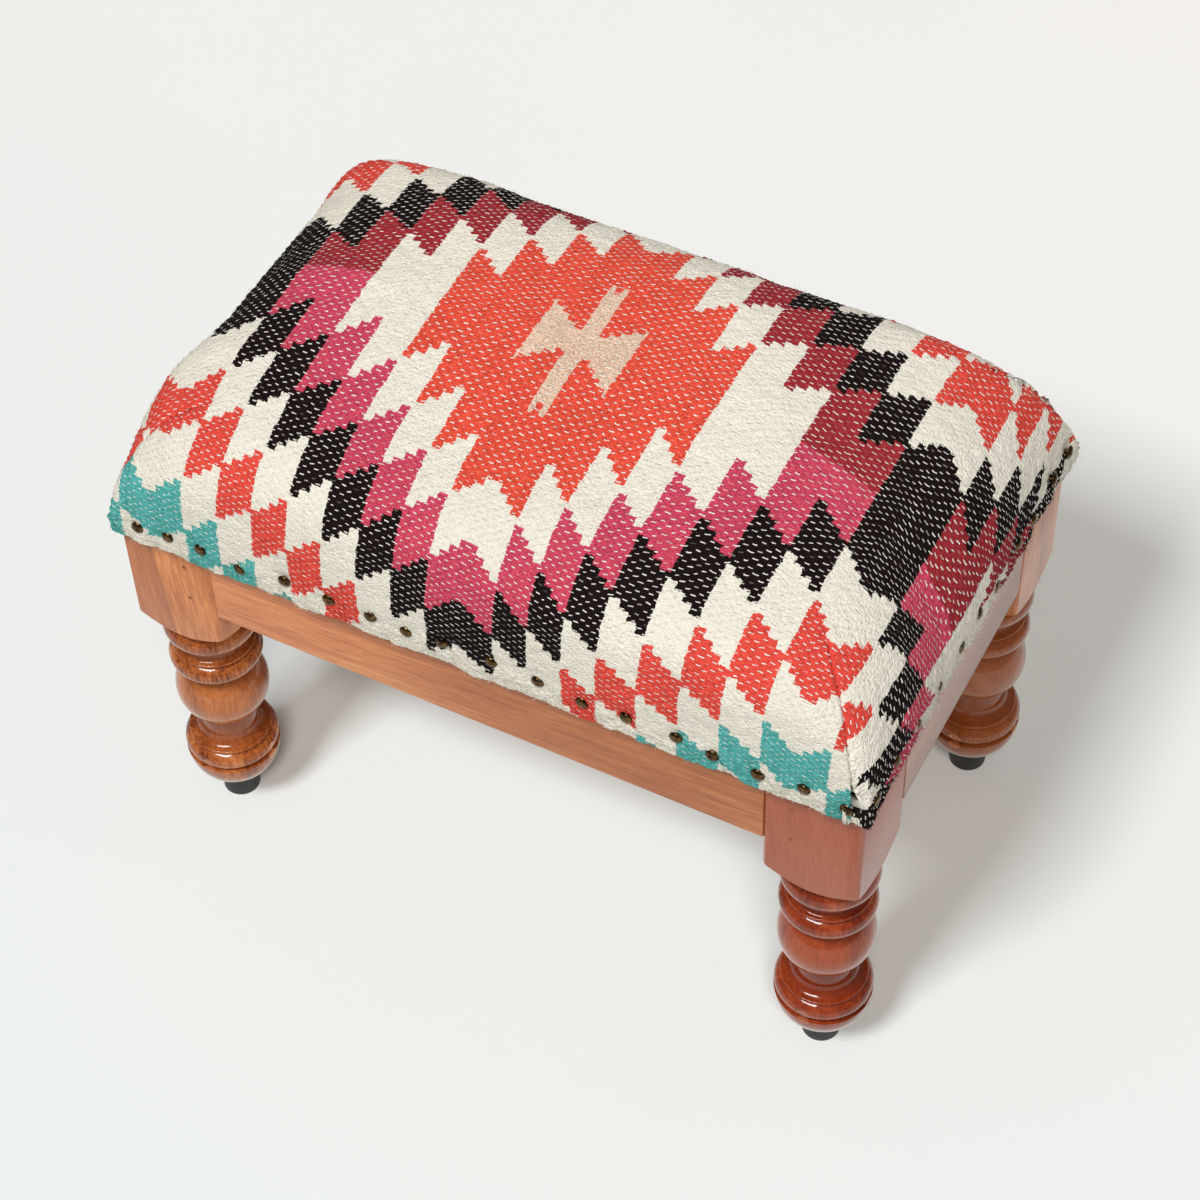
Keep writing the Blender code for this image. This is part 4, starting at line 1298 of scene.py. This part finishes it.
def make_stool():
    satin = (srgb(154, 82, 42), srgb(191, 112, 62), srgb(210, 138, 84))
    # Painted shade: a darker copy of the satin tones for the short side rails, which face away from the
    # light.
    shaded_satin = (srgb(118, 58, 30), srgb(158, 86, 50), srgb(182, 112, 72))
    red = (srgb(138, 64, 42), srgb(166, 87, 58), srgb(184, 108, 78))
    polish = (srgb(98, 42, 16), srgb(170, 91, 42), srgb(204, 130, 74))
    red_polish = (srgb(90, 28, 10), srgb(146, 56, 23), srgb(180, 86, 44))
    tan = (srgb(184, 106, 58), srgb(219, 137, 80), srgb(230, 158, 104))
    heart = (0.008, 0.067, srgb(156, 92, 66))
    plain_post = wood("post", satin, 2, 0.26, 1, coat=0.7, figured=1.2)
    streaked_post = wood("post_streaked", tan, 2, 0.26, 2, heart=heart, coat=0.7, figured=1.2)
    red_post = wood("post_red", red, 2, 0.26, 3, coat=0.7, figured=0.4)
    # The first colour each turning gets for `turned` is painted shade for its hollows.
    turning = wood("turning", polish, 2, 0.14, 4, coat=1.0, coat_ior=1.42, figured=1.1,
                   turned=(srgb(138, 60, 20), srgb(194, 117, 66)))
    red_turning = wood("turning_red", red_polish, 2, 0.14, 5, coat=1.0, coat_ior=1.42, figured=0.8,
                       turned=(srgb(124, 42, 14), srgb(176, 82, 46)))
    # Painted shade: the back legs take a darker copy of the turning tones.
    shaded = (srgb(104, 46, 18), srgb(154, 80, 38), srgb(182, 110, 60))
    back_turning = wood("turning_back", shaded, 2, 0.14, 8, coat=1.0, coat_ior=1.42, figured=0.6,
                        turned=(srgb(132, 58, 16), srgb(170, 102, 66)))
    posts = dict(zip(CORNERS, (streaked_post, red_post, plain_post, plain_post)))
    turnings = dict(zip(CORNERS, (turning, red_turning, back_turning, back_turning)))
    make_legs(turnings, posts)
    make_ferrules(rubber())
    # The long rails brighten towards their left end: painted light.
    long_wood = wood("rail_long", satin, 0, 0.28, 6, coat=0.5, figured=1.0, painted_light_along=(0.02, -0.15, 0.34))
    # The short rails take the darker satin: painted shade.
    make_rails(long_wood, wood("rail_short", shaded_satin, 1, 0.26, 7, coat=0.7))
    make_pin_ends(filler())

    seat = Seat()
    nails = nail_places(seat)
    wool = kilim()
    cover, cloth = make_cover(seat, wool, nails)
    fuzz = make_fuzz(wool, cloth)
    domes = make_nails(nails, metal("antique_brass", srgb(118, 90, 54), srgb(42, 31, 21), 0.12, 260))
    make_foam(seat, foam())
    finish_cad_nodes({"seat_board": plywood(),
                      "screw_": metal("zinc_screw", srgb(190, 190, 186), srgb(120, 120, 120), 0.3, 400)})


make_stool()
make_lights(make_floor())
make_camera()
